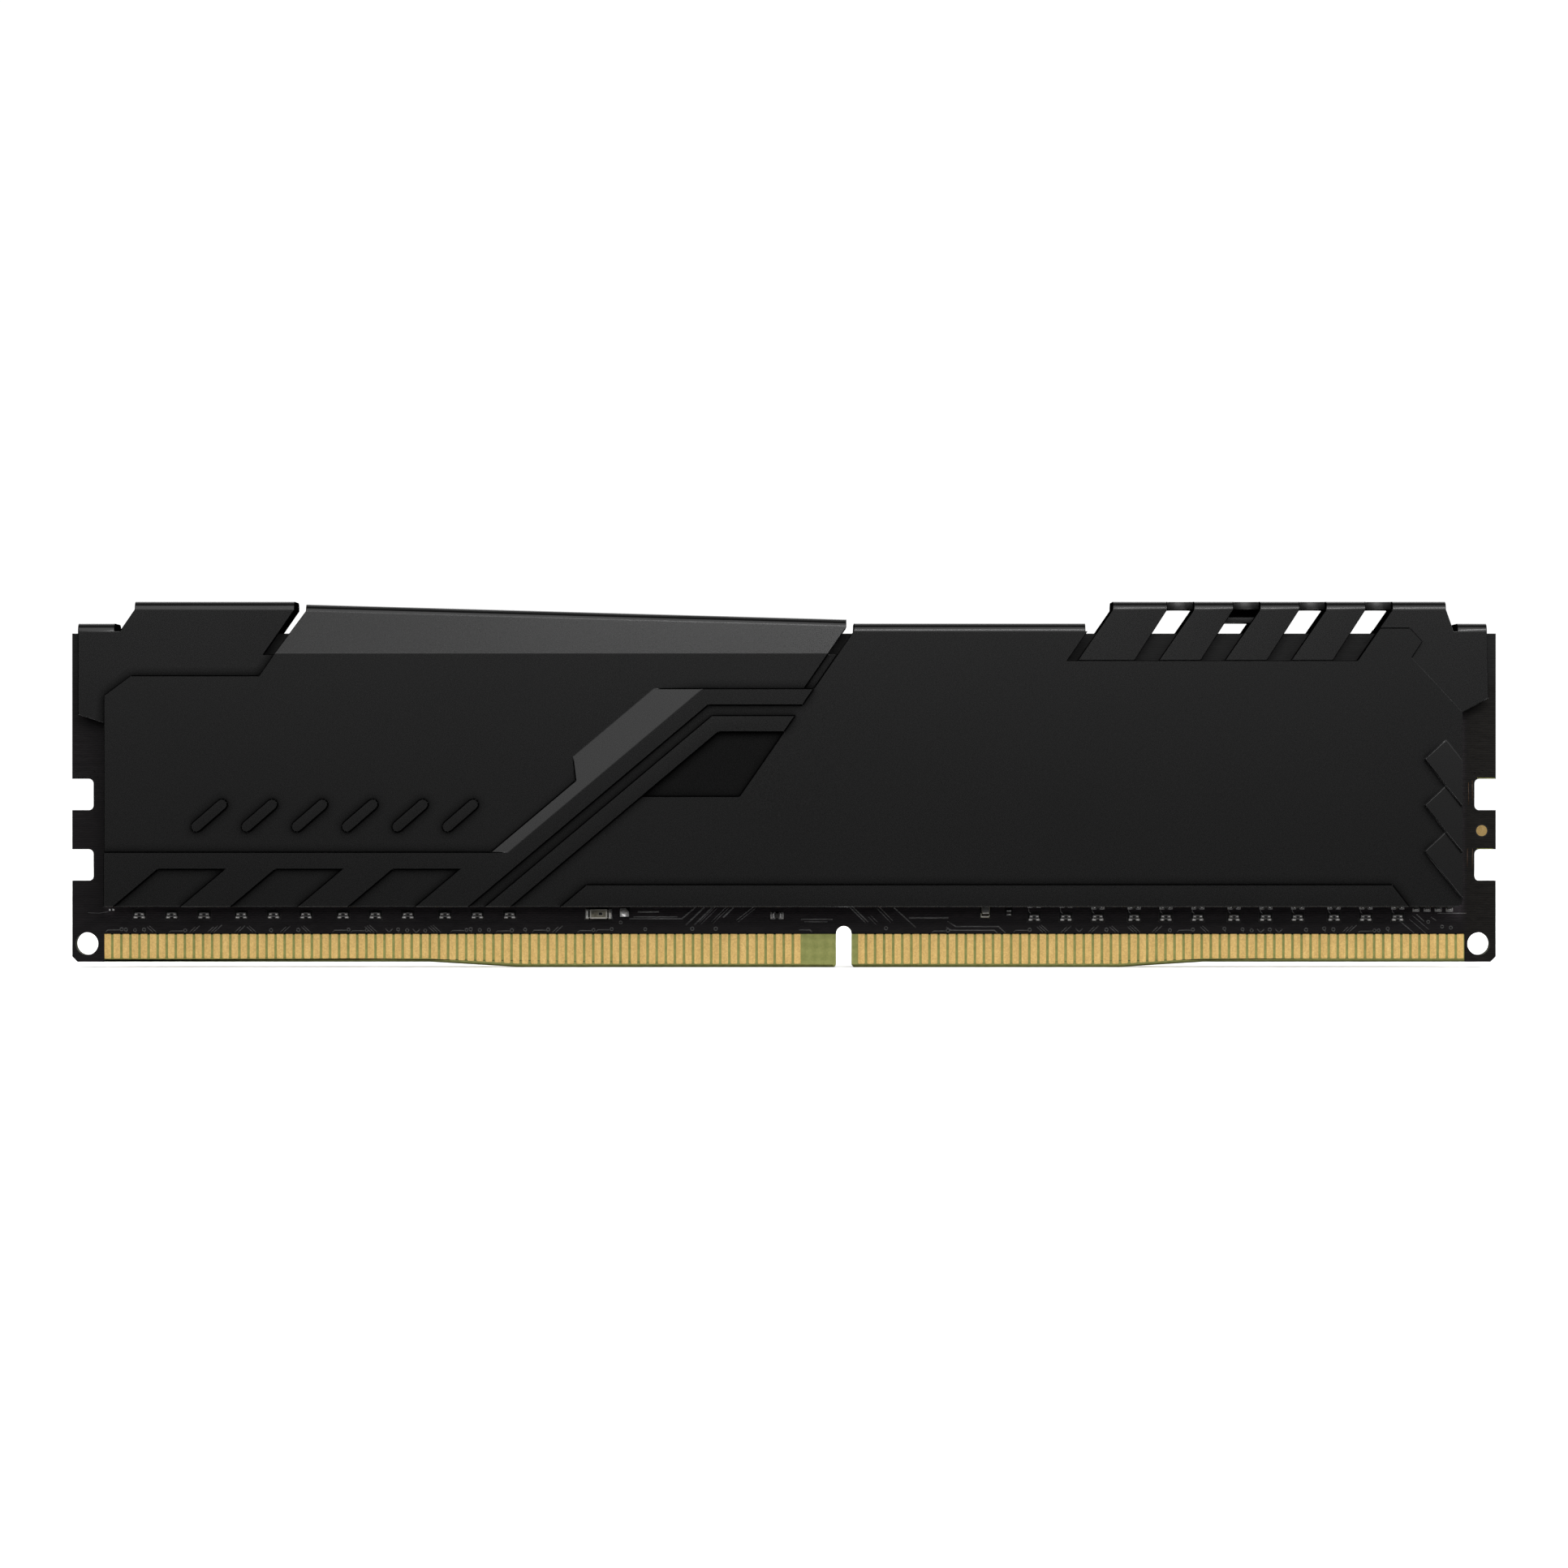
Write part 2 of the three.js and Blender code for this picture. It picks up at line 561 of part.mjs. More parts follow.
const resistorTop = BOARD_FACE + RESISTOR.thickness;
[RESISTOR_COLUMNS_LEFT, RESISTOR_COLUMNS_RIGHT].forEach(({ first, groups, groupPitch, pitch, z }, bank) => {
  for (let i = 0; i < groups * RESISTORS_IN_GROUP; i += 1) {
    const group = Math.floor(i / RESISTORS_IN_GROUP);
    const x = first + group * groupPitch + (i % RESISTORS_IN_GROUP) * pitch;
    const number = bank * groups * RESISTORS_IN_GROUP + i + 1;
    addBlock(`resistor_${number}`, { ...RESISTOR, x, z, top: resistorTop }, FRONT, RESISTOR_GLAZE);
  }
});

for (const { name, thickness, ...place } of CAPACITORS) {
  addBlock(name, { ...place, top: BOARD_FACE + thickness }, FRONT, CERAMIC);
}

export default ramModule;
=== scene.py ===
"""Looks of the memory module: fitted pieces, materials, light and camera round the CAD frame.

Shapes are written in millimetres, with X along the board, Z up and "out" the distance from the
board's mid-plane towards one face, and they are scaled to metres when a piece is made.
"""

import math
import random

import bmesh
import bpy
from mathutils import Matrix, Vector
from mathutils.geometry import tessellate_polygon


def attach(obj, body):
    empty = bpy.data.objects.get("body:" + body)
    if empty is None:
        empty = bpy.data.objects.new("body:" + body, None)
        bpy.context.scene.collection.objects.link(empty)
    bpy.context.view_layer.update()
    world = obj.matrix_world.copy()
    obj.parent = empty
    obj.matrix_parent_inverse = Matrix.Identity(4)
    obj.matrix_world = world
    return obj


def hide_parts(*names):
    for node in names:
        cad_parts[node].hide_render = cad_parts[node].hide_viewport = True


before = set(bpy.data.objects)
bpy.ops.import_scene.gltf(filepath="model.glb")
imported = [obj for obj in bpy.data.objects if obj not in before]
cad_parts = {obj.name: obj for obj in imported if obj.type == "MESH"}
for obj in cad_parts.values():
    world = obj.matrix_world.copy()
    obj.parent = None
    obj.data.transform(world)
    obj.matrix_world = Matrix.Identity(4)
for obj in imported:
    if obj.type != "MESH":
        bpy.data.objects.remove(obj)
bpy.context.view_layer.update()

MM = 0.001
FRONT, REAR = -1, 1
SIDES = {"front": FRONT, "rear": REAR}

# ---- Dimensions in millimetres ----

BOARD_LENGTH = 133.35
BOARD_HEIGHT = 31.25
BOARD_FACE = 0.7
LAMINATE_FACE = 0.665
EDGE_STEP = 0.5
EDGE_RAMP_LEFT = (-33.2, -24.6)
EDGE_RAMP_RIGHT = (31.3, 39.3)
BOARD_CORNER = 0.5
NOTCH_DEPTH = 2.0
NOTCH_HEIGHT = 2.94
NOTCH_RADIUS = 0.45
NOTCH_CENTRES = (9.58, 16.18)
KEY_LEFT = 4.875
KEY_RIGHT = 6.325
KEY_TOP = 3.85
KEY_LIP = 0.3
HOLE_COLUMNS = (-65.3, 65.08)
HOLE_Z = 2.2
HOLE_RADIUS = 1.06

# Zone below the solder mask where the laminate and the contacts are bare
BARE_LEFT = -63.66
BARE_RIGHT = 63.73
MASK_EDGE = 3.12
MASK_DIP = 0.07
MASK_BAND = 3.24
CHAMFER_RISE = 0.25
CHAMFER_DEPTH = 0.2

FINGER_PITCH = 0.85
FINGER_WIDTH = 0.62
FINGER_SETBACK = 0.3
FINGER_RADIUS = 0.1
FINGER_OUT = 0.715
FINGER_CROWN = 0.025
FINGER_ROWS = {"left": (-63.35, 77), "right": (7.25, 67)}

# Heat spreader: its edge radius, and how the CAD mesh is cleaned before the edges are rounded
SHEET_EDGE = 0.06
WELD = 0.003
SHORT_EDGE = 0.055
CREASE_ANGLE = math.radians(4)
FOLD_STEP = (math.radians(12.5), math.radians(19.5))
LEVEL_AREA = 2

# Places that tell the coats of the spreader apart
FACET_WIDTH = 0.5
BADGE_OUT = 2.9
FIN_FOOT = 29
TAB_FOOT = 31
NOTCH_FOOT = 33.2
SCALE_EDGE = 59.5
SCALE_TOP = 22.5


# ---- Materials ----

class Look:
    """A Principled material, with helpers for the nodes that feed it."""

    def __init__(self, name, roughness, metallic=0.0, specular=0.5):
        self.material = bpy.data.materials.new(name)
        self.material.use_nodes = True
        self.tree = self.material.node_tree
        self.shader = self.tree.nodes["Principled BSDF"]
        self.shader.inputs["Roughness"].default_value = roughness
        self.shader.inputs["Metallic"].default_value = metallic
        self.shader.inputs["Specular IOR Level"].default_value = specular
        self.place = self.node("ShaderNodeTexCoord", {}).outputs["Object"]

    def node(self, kind, inputs, **settings):
        """New node. Each input takes a plain value, or the output that feeds it."""
        made = self.tree.nodes.new(kind)
        for key, value in settings.items():
            setattr(made, key, value)
        for key, value in inputs.items():
            if isinstance(value, bpy.types.NodeSocket):
                self.link(value, made.inputs[key])
            else:
                made.inputs[key].default_value = value
        return made

    def link(self, source, target):
        self.tree.links.new(source, target)

    def noise(self, scale, detail=2.0, distortion=0.0, stretch=(1, 1, 1)):
        mapping = self.node("ShaderNodeMapping", {"Vector": self.place, "Scale": stretch})
        inputs = {"Scale": scale, "Detail": detail, "Distortion": distortion}
        inputs["Vector"] = mapping.outputs["Vector"]
        return self.node("ShaderNodeTexNoise", inputs).outputs["Fac"]

    def wave(self, scale, direction, distortion=0.0):
        inputs = {"Vector": self.place, "Scale": scale}
        inputs |= {"Distortion": distortion, "Detail Scale": 2.0}
        return self.node("ShaderNodeTexWave", inputs, bands_direction=direction).outputs["Fac"]

    def occlusion(self, reach):
        """Share of open sky within reach, from the piece's own shape."""
        inputs = {"Distance": reach}
        made = self.node("ShaderNodeAmbientOcclusion", inputs, samples=6, only_local=True)
        return made.outputs["AO"]

    def times(self, first, second):
        made = self.node("ShaderNodeMath", {0: first, 1: second}, operation="MULTIPLY")
        return made.outputs["Value"]

    def mix(self, share, first, second):
        """Number that is `first` at share 0 and `second` at share 1."""
        inputs = {"Factor": share, "A": first, "B": second}
        return self.node("ShaderNodeMix", inputs, data_type="FLOAT").outputs["Result"]

    def blend(self, share, first, second):
        """Colour that is `first` at share 0 and `second` at share 1."""
        # By number, because the colour sockets share their names with the other kinds
        factor, first_colour, second_colour, result = 0, 6, 7, 2
        inputs = {factor: share, first_colour: first, second_colour: second}
        return self.node("ShaderNodeMix", inputs, data_type="RGBA").outputs[result]

    def span(self, value, low, high):
        inputs = {"Value": value, "To Min": low, "To Max": high}
        return self.node("ShaderNodeMapRange", inputs).outputs["Result"]

    def slope(self, axis, start, end):
        """0 at the start and 1 at the end of a stretch in metres along the axis."""
        split = self.node("ShaderNodeSeparateXYZ", {"Vector": self.place})
        inputs = {"Value": split.outputs[axis], "From Min": start, "From Max": end}
        return self.node("ShaderNodeMapRange", inputs).outputs["Result"]

    def ramp(self, value, *stops):
        """Colour from (position, (r, g, b)) stops."""
        ramp = self.node("ShaderNodeValToRGB", {"Fac": value})
        elements = ramp.color_ramp.elements
        while len(elements) < len(stops):
            elements.new(1.0)
        for element, (position, rgb) in zip(elements, stops):
            element.position = position
            element.color = (*rgb, 1)
        return ramp.outputs["Color"]

    def colour(self, value, *stops):
        self.link(self.ramp(value, *stops), self.shader.inputs["Base Color"])

    def roughness(self, value, low, high):
        self.link(self.span(value, low, high), self.shader.inputs["Roughness"])

    def bump(self, height, depth, strength=1.0):
        """Relief of the given depth in metres; a second call lies on top of the first."""
        inputs = {"Height": height, "Distance": depth, "Strength": strength}
        made = self.node("ShaderNodeBump", inputs)
        normal = self.shader.inputs["Normal"]
        if normal.is_linked:
            self.link(normal.links[0].from_socket, made.inputs["Normal"])
        self.link(made.outputs["Normal"], normal)


def grey(value, warmth=0.0):
    return (value * (1 + warmth), value, value * (1 - warmth))


def times_rgb(factor, rgb):
    return tuple(factor * part for part in rgb)


def black_coat(name, tone, reach=None, roughness=0.27):
    """Satin black coat on stamped sheet: fine powder grain over faint mottling.

    With a reach, painted shade darkens it in the corners, by its own occlusion taken twice.
    """
    look = Look(name, roughness=roughness, metallic=0.9, specular=0.1)
    grain = look.noise(14000, detail=1.5)
    mottle = look.noise(90, detail=3)
    shaded = look.span(look.mix(0.35, grain, mottle), 0.88 * tone, 1.12 * tone)
    # Painted shade: the colour times the occlusion, twice over
    if reach:
        painted_corner_shade = look.occlusion(reach)
        shaded = look.times(look.times(shaded, painted_corner_shade), painted_corner_shade)
    look.link(shaded, look.shader.inputs["Base Color"])
    look.roughness(grain, roughness - 0.02, roughness + 0.02)
    look.bump(grain, 1.5e-6, 0.3)
    return look.material


def crevice_shade_coat():
    """Painted shade: a far darker copy of the coat on the steep walls and feet of the stamping."""
    look = Look("black_aluminium_crevice_shade", roughness=0.6, specular=0.0)
    grain = look.noise(14000, detail=1.5)
    look.colour(grain, (0.3, grey(0.0008)), (0.7, grey(0.0016)))
    look.bump(grain, 1.5e-6, 0.3)
    return look.material


def solder_mask(name, dark, light):
    """Black mask over fine drag lines from coating.

    Olive at the right end; painted light makes it neutral and paler at the top edge, paler under
    the skirt.
    """
    look = Look(name, roughness=0.4, specular=0.12)
    drag = look.noise(1500, detail=3, distortion=1.5, stretch=(0.35, 1, 1.8))
    comb = look.wave(1500, "Z", 4.0)
    tone = look.mix(0.4, drag, comb)
    body = look.ramp(tone, (0.25, dark), (0.75, light))
    # Painted light: 5.5 times paler under the skirt, against the skirt's shade
    painted_light_under_skirt = look.ramp(tone, (0.25, times_rgb(5.5, dark)), (0.75, times_rgb(5.5, light)))
    # Painted light: neutral and paler near the top edge, against the shade there
    crest = look.ramp(tone, (0.25, grey(2.6 * dark[1])), (0.75, grey(1.7 * light[1])))
    olive = look.ramp(tone, (0.25, grey(0.95 * dark[1], 0.15)), (0.75, grey(1.1 * light[1], 0.15)))
    inboard = look.times(look.slope("X", -0.0638, -0.0630), look.slope("X", 0.0640, 0.0632))
    # Share in the skirt's shade, away from the board's ends
    shaded = look.times(look.slope("Z", 0.0042, 0.0056), inboard)
    colour = look.blend(shaded, body, painted_light_under_skirt)
    colour = look.blend(look.slope("X", 0.0634, 0.0642), colour, olive)
    colour = look.blend(look.slope("Z", 0.026, 0.028), colour, crest)
    look.link(colour, look.shader.inputs["Base Color"])
    look.roughness(drag, 0.32, 0.48)
    look.bump(comb, 3e-6, 0.35)
    look.bump(drag, 1.6e-5, 0.5)
    return look.material


def laminate():
    """Bare glass-epoxy board: olive resin with the glass weave just showing."""
    look = Look("bare_laminate", roughness=0.5, specular=0.3)
    weave = look.mix(0.5, look.wave(330, "X", 3.0), look.wave(330, "Z", 3.0))
    speck = look.noise(5200, detail=2)
    tone = look.mix(0.6, weave, speck)
    look.colour(tone, (0.25, (0.220, 0.240, 0.066)), (0.75, (0.315, 0.320, 0.098)))
    look.roughness(speck, 0.42, 0.58)
    look.bump(tone, 1e-5, 0.4)
    return look.material


def routed_edge():
    """Cut side of the board: resin-stained glass, much darker than the bare face."""
    look = Look("routed_board_edge", roughness=0.7, specular=0.1)
    strand = look.noise(3000, detail=2, stretch=(1, 6, 1))
    look.colour(strand, (0.3, (0.014, 0.015, 0.006)), (0.7, (0.040, 0.042, 0.014)))
    look.bump(strand, 1e-5, 0.5)
    return look.material


def gold(name, tone):
    """Gold plating with a sandy grain and faint wiping streaks along the contact."""
    look = Look(name, roughness=0.42, metallic=0.4, specular=0.5)
    grain = look.noise(7800, detail=2)
    streak = look.noise(2600, detail=2, stretch=(1, 1, 0.12))
    dull, plain, bright = (0.56, 0.345, 0.105), (0.74, 0.490, 0.165), (0.92, 0.655, 0.255)
    stops = [(at, times_rgb(tone, rgb)) for at, rgb in ((0.25, dull), (0.5, plain), (0.8, bright))]
    look.colour(look.mix(0.4, grain, streak), *stops)
    look.roughness(grain, 0.34, 0.52)
    look.bump(grain, 9e-6, 0.5)
    return look.material


def tin(name, tone):
    """Reflowed tin and solder: grey, softly dented."""
    look = Look(name, roughness=0.4, metallic=0.3, specular=0.5)
    dents = look.noise(4200, detail=2, distortion=0.4)
    look.colour(dents, (0.3, grey(0.6 * tone)), (0.7, grey(tone, 0.01)))
    look.roughness(dents, 0.28, 0.5)
    look.bump(dents, 1.4e-5, 0.5)
    return look.material


def moulded(name, dark, light, roughness, speck_scale, depth):
    """Opaque moulded or fired body: speckled, slightly uneven."""
    look = Look(name, roughness=roughness, specular=0.4)
    speck = look.noise(speck_scale, detail=3)
    broad = look.noise(speck_scale / 14, detail=2)
    look.colour(look.mix(0.35, speck, broad), (0.3, dark), (0.7, light))
    look.roughness(speck, roughness - 0.07, roughness + 0.07)
    look.bump(speck, depth, 0.5)
    return look.material


# Painted shade: the main and badge coats darken in their corners by their own occlusion
ALUMINIUM = black_coat("black_aluminium", 0.0315, reach=9e-4)
# Painted shade: near-black copy of the coat for walls, feet, inner faces and edge strips
CREVICE_SHADE = crevice_shade_coat()
BADGE = black_coat("black_aluminium_badge", 0.0155, reach=9e-4)
# Painted light: a paler copy of the coat for the upright fins
FIN_PAINTED_LIGHT = black_coat("black_aluminium_fin_painted_light", 0.0335)
# Painted shade: a darker copy for the sloped fin, which catches the key light
SLOPED_FIN_PAINTED_SHADE = black_coat("black_aluminium_sloped_fin_painted_shade", 0.0225)
# Painted shade: a darker copy for the tilted scales
SCALE_PAINTED_SHADE = black_coat("black_aluminium_scale_painted_shade", 0.0125)
FOLD = black_coat("black_aluminium_fold", 0.0315, roughness=0.17)
# Painted light: a paler copy for the shaded walls of the notches in the fold
FOLD_NOTCH_PAINTED_LIGHT = black_coat("black_aluminium_fold_notch_painted_light", 0.055, roughness=0.5)
SPREADER_COATS = (ALUMINIUM, CREVICE_SHADE, BADGE, FIN_PAINTED_LIGHT, SLOPED_FIN_PAINTED_SHADE, SCALE_PAINTED_SHADE, FOLD, FOLD_NOTCH_PAINTED_LIGHT)
ALUMINIUM_SLOT = SPREADER_COATS.index(ALUMINIUM)
CREVICE_SHADE_SLOT = SPREADER_COATS.index(CREVICE_SHADE)
MASK = solder_mask("solder_mask", (0.0038, 0.0032, 0.0038), (0.0098, 0.0083, 0.0092))
# Partly the paler tone of mask over copper, partly painted highlight along the raised runs
MASK_OVER_COPPER_AND_HIGHLIGHT = solder_mask("solder_mask_over_copper_and_highlight", grey(0.034), grey(0.085))
MASK_GAP = solder_mask("solder_mask_gap", grey(0.0007), grey(0.0018))
LAMINATE = laminate()
ROUTED = routed_edge()
RESIN_STAIN = moulded("resin_stain", (0.030, 0.013, 0.004), (0.075, 0.034, 0.010), 0.5, 5200, 6e-6)
GOLD = gold("gold_contact", 1.08)
DULL_GOLD = gold("dull_gold_pad", 0.5)
TIN = tin("tinned_end", 0.52)
SOLDER = tin("solder_bank", 1.0)
EPOXY = moulded("moulded_epoxy", grey(0.010), grey(0.022), 0.55, 6500, 1.2e-5)
GLAZE = moulded("resistor_glaze", grey(0.006), grey(0.012), 0.3, 3500, 6e-6)
ALUMINA = moulded("alumina_body", grey(0.20, 0.03), grey(0.32, 0.03), 0.55, 5200, 1e-5)
CERAMIC = moulded("ceramic_body", (0.08, 0.075, 0.055), (0.36, 0.335, 0.25), 0.45, 3400, 1.4e-5)
PALE_CERAMIC = moulded("pale_ceramic_rim", (0.50, 0.49, 0.44), (0.75, 0.73, 0.67), 0.45, 4200, 8e-6)
GREY_CERAMIC = moulded("grey_ceramic_body", grey(0.10, 0.02), grey(0.20, 0.02), 0.45, 4200, 8e-6)
# Partly a real mask opening; its near-black tone is painted shade round the parts
OPENING_AND_SHADE = moulded("mask_opening_and_shade", grey(0.0012), grey(0.0028), 0.7, 3000, 8e-6)
DARK_CERAMIC = moulded(
    "dark_ceramic", (0.012, 0.011, 0.010), (0.024, 0.021, 0.018), 0.5, 4800, 1e-5
)
PAD = moulded("thermal_pad", (0.17, 0.18, 0.19), (0.25, 0.26, 0.275), 0.85, 2600, 4e-5)
SUBSTRATE = moulded("package_substrate", (0.012, 0.03, 0.014), (0.02, 0.045, 0.02), 0.5, 3000, 8e-6)


# ---- Mesh helpers ----

def outline(points, steps=5):
    """Closed outline through (x, z) points; a third value rounds that corner by its radius."""
    path = []
    for i, (x, z, *radius) in enumerate(points):
        corner = Vector((x, z))
        if not radius:
            path.append(corner)
            continue
        before = (Vector(points[i - 1][:2]) - corner).normalized()
        after = (Vector(points[(i + 1) % len(points)][:2]) - corner).normalized()
        half = before.angle(after) / 2
        centre = corner + (before + after).normalized() * (radius[0] / math.sin(half))
        start = corner + before * (radius[0] / math.tan(half)) - centre
        sweep = math.copysign(math.pi - 2 * half, after.cross(before))
        turns = [Matrix.Rotation(sweep * k / steps, 2) for k in range(steps + 1)]
        path += [centre + turn @ start for turn in turns]
    return path


def circle(x, z, radius, sides):
    turns = [2 * math.pi * k / sides for k in range(sides)]
    return [Vector((x + radius * math.cos(t), z + radius * math.sin(t))) for t in turns]


def towards(centre, p, step):
    """Point moved by the step towards the centre, both in x and in z."""
    x = p.x + math.copysign(step, centre.x - p.x)
    z = p.y + math.copysign(step, centre.y - p.y)
    return Vector((x, z))


def add_band(mesh, low, high, material):
    """Faces between two rings of vertices."""
    for i in range(len(low)):
        mesh.faces.new((low[i - 1], low[i], high[i], high[i - 1])).material_index = material


def add_tube(mesh, rings, material=0, last=None):
    """Closed solid through rings of points. The last end may differ in material."""
    rings = [[mesh.verts.new(p) for p in ring] for ring in rings]
    for low, high in zip(rings, rings[1:]):
        add_band(mesh, low, high, material)
    mesh.faces.new(rings[0]).material_index = material
    mesh.faces.new(rings[-1]).material_index = material if last is None else last


def add_stack(mesh, loops, rings, side=FRONT, material=0):
    """Closed solid through copies of the loops. A ring is (out, place), and place moves a point."""
    layers = []
    for out, place in rings:
        moved = [[place(p) if place else p for p in loop] for loop in loops]
        layers.append([[mesh.verts.new((p.x, side * out, p.y)) for p in loop] for loop in moved])
    for below, above in zip(layers, layers[1:]):
        for low, high in zip(below, above):
            add_band(mesh, low, high, material)
    flat = [[Vector((p.x, p.y, 0)) for p in loop] for loop in loops]
    for layer in (layers[0], layers[-1]):
        corners = [v for loop in layer for v in loop]
        if len(loops) == 1:
            mesh.faces.new(corners).material_index = material
            continue
        for triangle in tessellate_polygon(flat):
            mesh.faces.new([corners[i] for i in triangle]).material_index = material


def add_prism(mesh, points, out_from, out_to, side=FRONT, material=0):
    add_stack(mesh, [points], [(out_from, None), (out_to, None)], side, material)


def add_block(mesh, low, high, bevel, material=0, segments=2):
    """Box between two (x, out, z) corners with rounded edges, for a part that faces the front."""
    (x0, y0, z0), (x1, y1, z1) = low, high
    centre = Vector((x0 + x1, -(y0 + y1), z0 + z1)) / 2
    size = Vector((x1 - x0, y1 - y0, z1 - z0))
    made = bmesh.ops.create_cube(mesh, size=1, matrix=Matrix.LocRotScale(centre, None, size))
    for face in {f for v in made["verts"] for f in v.link_faces}:
        face.material_index = material
    edges = list(dict.fromkeys(e for v in made["verts"] for e in v.link_edges))
    bmesh.ops.bevel(mesh, geom=edges, offset=bevel, segments=segments, profile=0.5, affect="EDGES")


def make_mesh(name, build, materials):
    """Mesh in metres from build(bmesh), which works in millimetres."""
    mesh = bmesh.new()
    build(mesh)
    bmesh.ops.recalc_face_normals(mesh, faces=mesh.faces)
    bmesh.ops.scale(mesh, vec=(MM, MM, MM), verts=mesh.verts)
    data = bpy.data.meshes.new(name)
    mesh.to_mesh(data)
    mesh.free()
    for material in materials:
        data.materials.append(material)
    return data


def shade(piece):
    piece.data.shade_smooth()
    weigh_normals(piece)


def weigh_normals(piece):
    """Lets the broad faces decide the shading, so that they look flat up to their rounded edges."""
    weighted = piece.modifiers.new("shade", "WEIGHTED_NORMAL")
    weighted.keep_sharp = True
    weighted.weight = 80


def place(name, data, slot, replaces=(), at=(0, 0), side=FRONT):
    """Piece at (x, z) on one face of the board. A part for the front turns round for the rear."""
    piece = bpy.data.objects.new(name, data)
    bpy.context.scene.collection.objects.link(piece)
    piece.location = (at[0] * MM, 0, at[1] * MM)
    if side == REAR:
        piece.rotation_euler = (0, 0, math.pi)
    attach(piece, "root")
    if replaces:
        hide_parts(*replaces)
    return piece


# ---- Circuit board ----

def clamp(value, low, high):
    return max(low, min(high, value))


def edge_height(x):
    """Height of the board's lower edge, which stands lower in the middle."""
    down = EDGE_STEP * (EDGE_RAMP_LEFT[1] - x) / (EDGE_RAMP_LEFT[1] - EDGE_RAMP_LEFT[0])
    up = EDGE_STEP * (x - EDGE_RAMP_RIGHT[0]) / (EDGE_RAMP_RIGHT[1] - EDGE_RAMP_RIGHT[0])
    return clamp(max(down, up), 0, EDGE_STEP)


def latch_notch(direction):
    edge = direction * BOARD_LENGTH / 2
    inner = edge - direction * NOTCH_DEPTH
    upward = []
    for centre in NOTCH_CENTRES:
        low, high = centre - NOTCH_HEIGHT / 2, centre + NOTCH_HEIGHT / 2
        bottom = [(inner, low, NOTCH_RADIUS), (inner, high, NOTCH_RADIUS)]
        upward += [(edge, low), *bottom, (edge, high)]
    return upward if direction > 0 else upward[::-1]


def board_outline(lower_edge):
    """Board outline with the given run of points for its lower edge, from left to right."""
    half = BOARD_LENGTH / 2
    return outline([
        (-half + BOARD_CORNER, EDGE_STEP),
        *lower_edge,
        (half - BOARD_CORNER, EDGE_STEP),
        (half, EDGE_STEP + BOARD_CORNER),
        *latch_notch(1),
        (half, BOARD_HEIGHT),
        (-half, BOARD_HEIGHT),
        *latch_notch(-1),
        (-half, EDGE_STEP + BOARD_CORNER),
    ])


def corner_holes():
    return [circle(x, HOLE_Z, HOLE_RADIUS, 40)[::-1] for x in HOLE_COLUMNS]


# Material numbers: the laminate's routed sides, and the painted shade along the mask's rim over the
# contacts
CUT_SIDE = 1
MASK_RIM_SHADE = 1

# Radius of the key notch's roof, just short of a half circle
KEY_ROOF = (KEY_RIGHT - KEY_LEFT) / 2 - 0.001


def build_laminate(mesh):
    """Bare board between the two masks, with the lower edge bevelled on both faces."""
    step = 0.001
    lower_edge = [
        (BARE_LEFT - step, EDGE_STEP), (BARE_LEFT + step, EDGE_STEP),
        (EDGE_RAMP_LEFT[0], EDGE_STEP), (EDGE_RAMP_LEFT[1], 0),
        (KEY_LEFT, 0, KEY_LIP), (KEY_LEFT, KEY_TOP, KEY_ROOF),
        (KEY_RIGHT, KEY_TOP, KEY_ROOF), (KEY_RIGHT, 0, KEY_LIP),
        (EDGE_RAMP_RIGHT[0], 0), (EDGE_RAMP_RIGHT[1], EDGE_STEP),
        (BARE_RIGHT - step, EDGE_STEP), (BARE_RIGHT + step, EDGE_STEP),
    ]

    def lifted(p):
        """Chamfer along the insertion edge, fading out where the key notch turns upwards."""
        inside = BARE_LEFT < p.x < BARE_RIGHT
        above = p.y - edge_height(p.x)
        rise = clamp(CHAMFER_RISE - above, 0, CHAMFER_RISE) if inside else 0
        return Vector((p.x, p.y + rise))

    rings = [
        (-LAMINATE_FACE, lifted),
        (CHAMFER_DEPTH - LAMINATE_FACE, None),
        (LAMINATE_FACE - CHAMFER_DEPTH, None),
        (LAMINATE_FACE, lifted),
    ]
    add_stack(mesh, [board_outline(lower_edge), *corner_holes()], rings)
    for face in mesh.faces:
        above = min(v.co.z - edge_height(v.co.x) for v in face.verts)
        inside = BARE_LEFT < face.calc_center_median().x < BARE_RIGHT
        if abs(face.normal.y) < 0.5 and not (inside and above < 0.4):
            face.material_index = CUT_SIDE


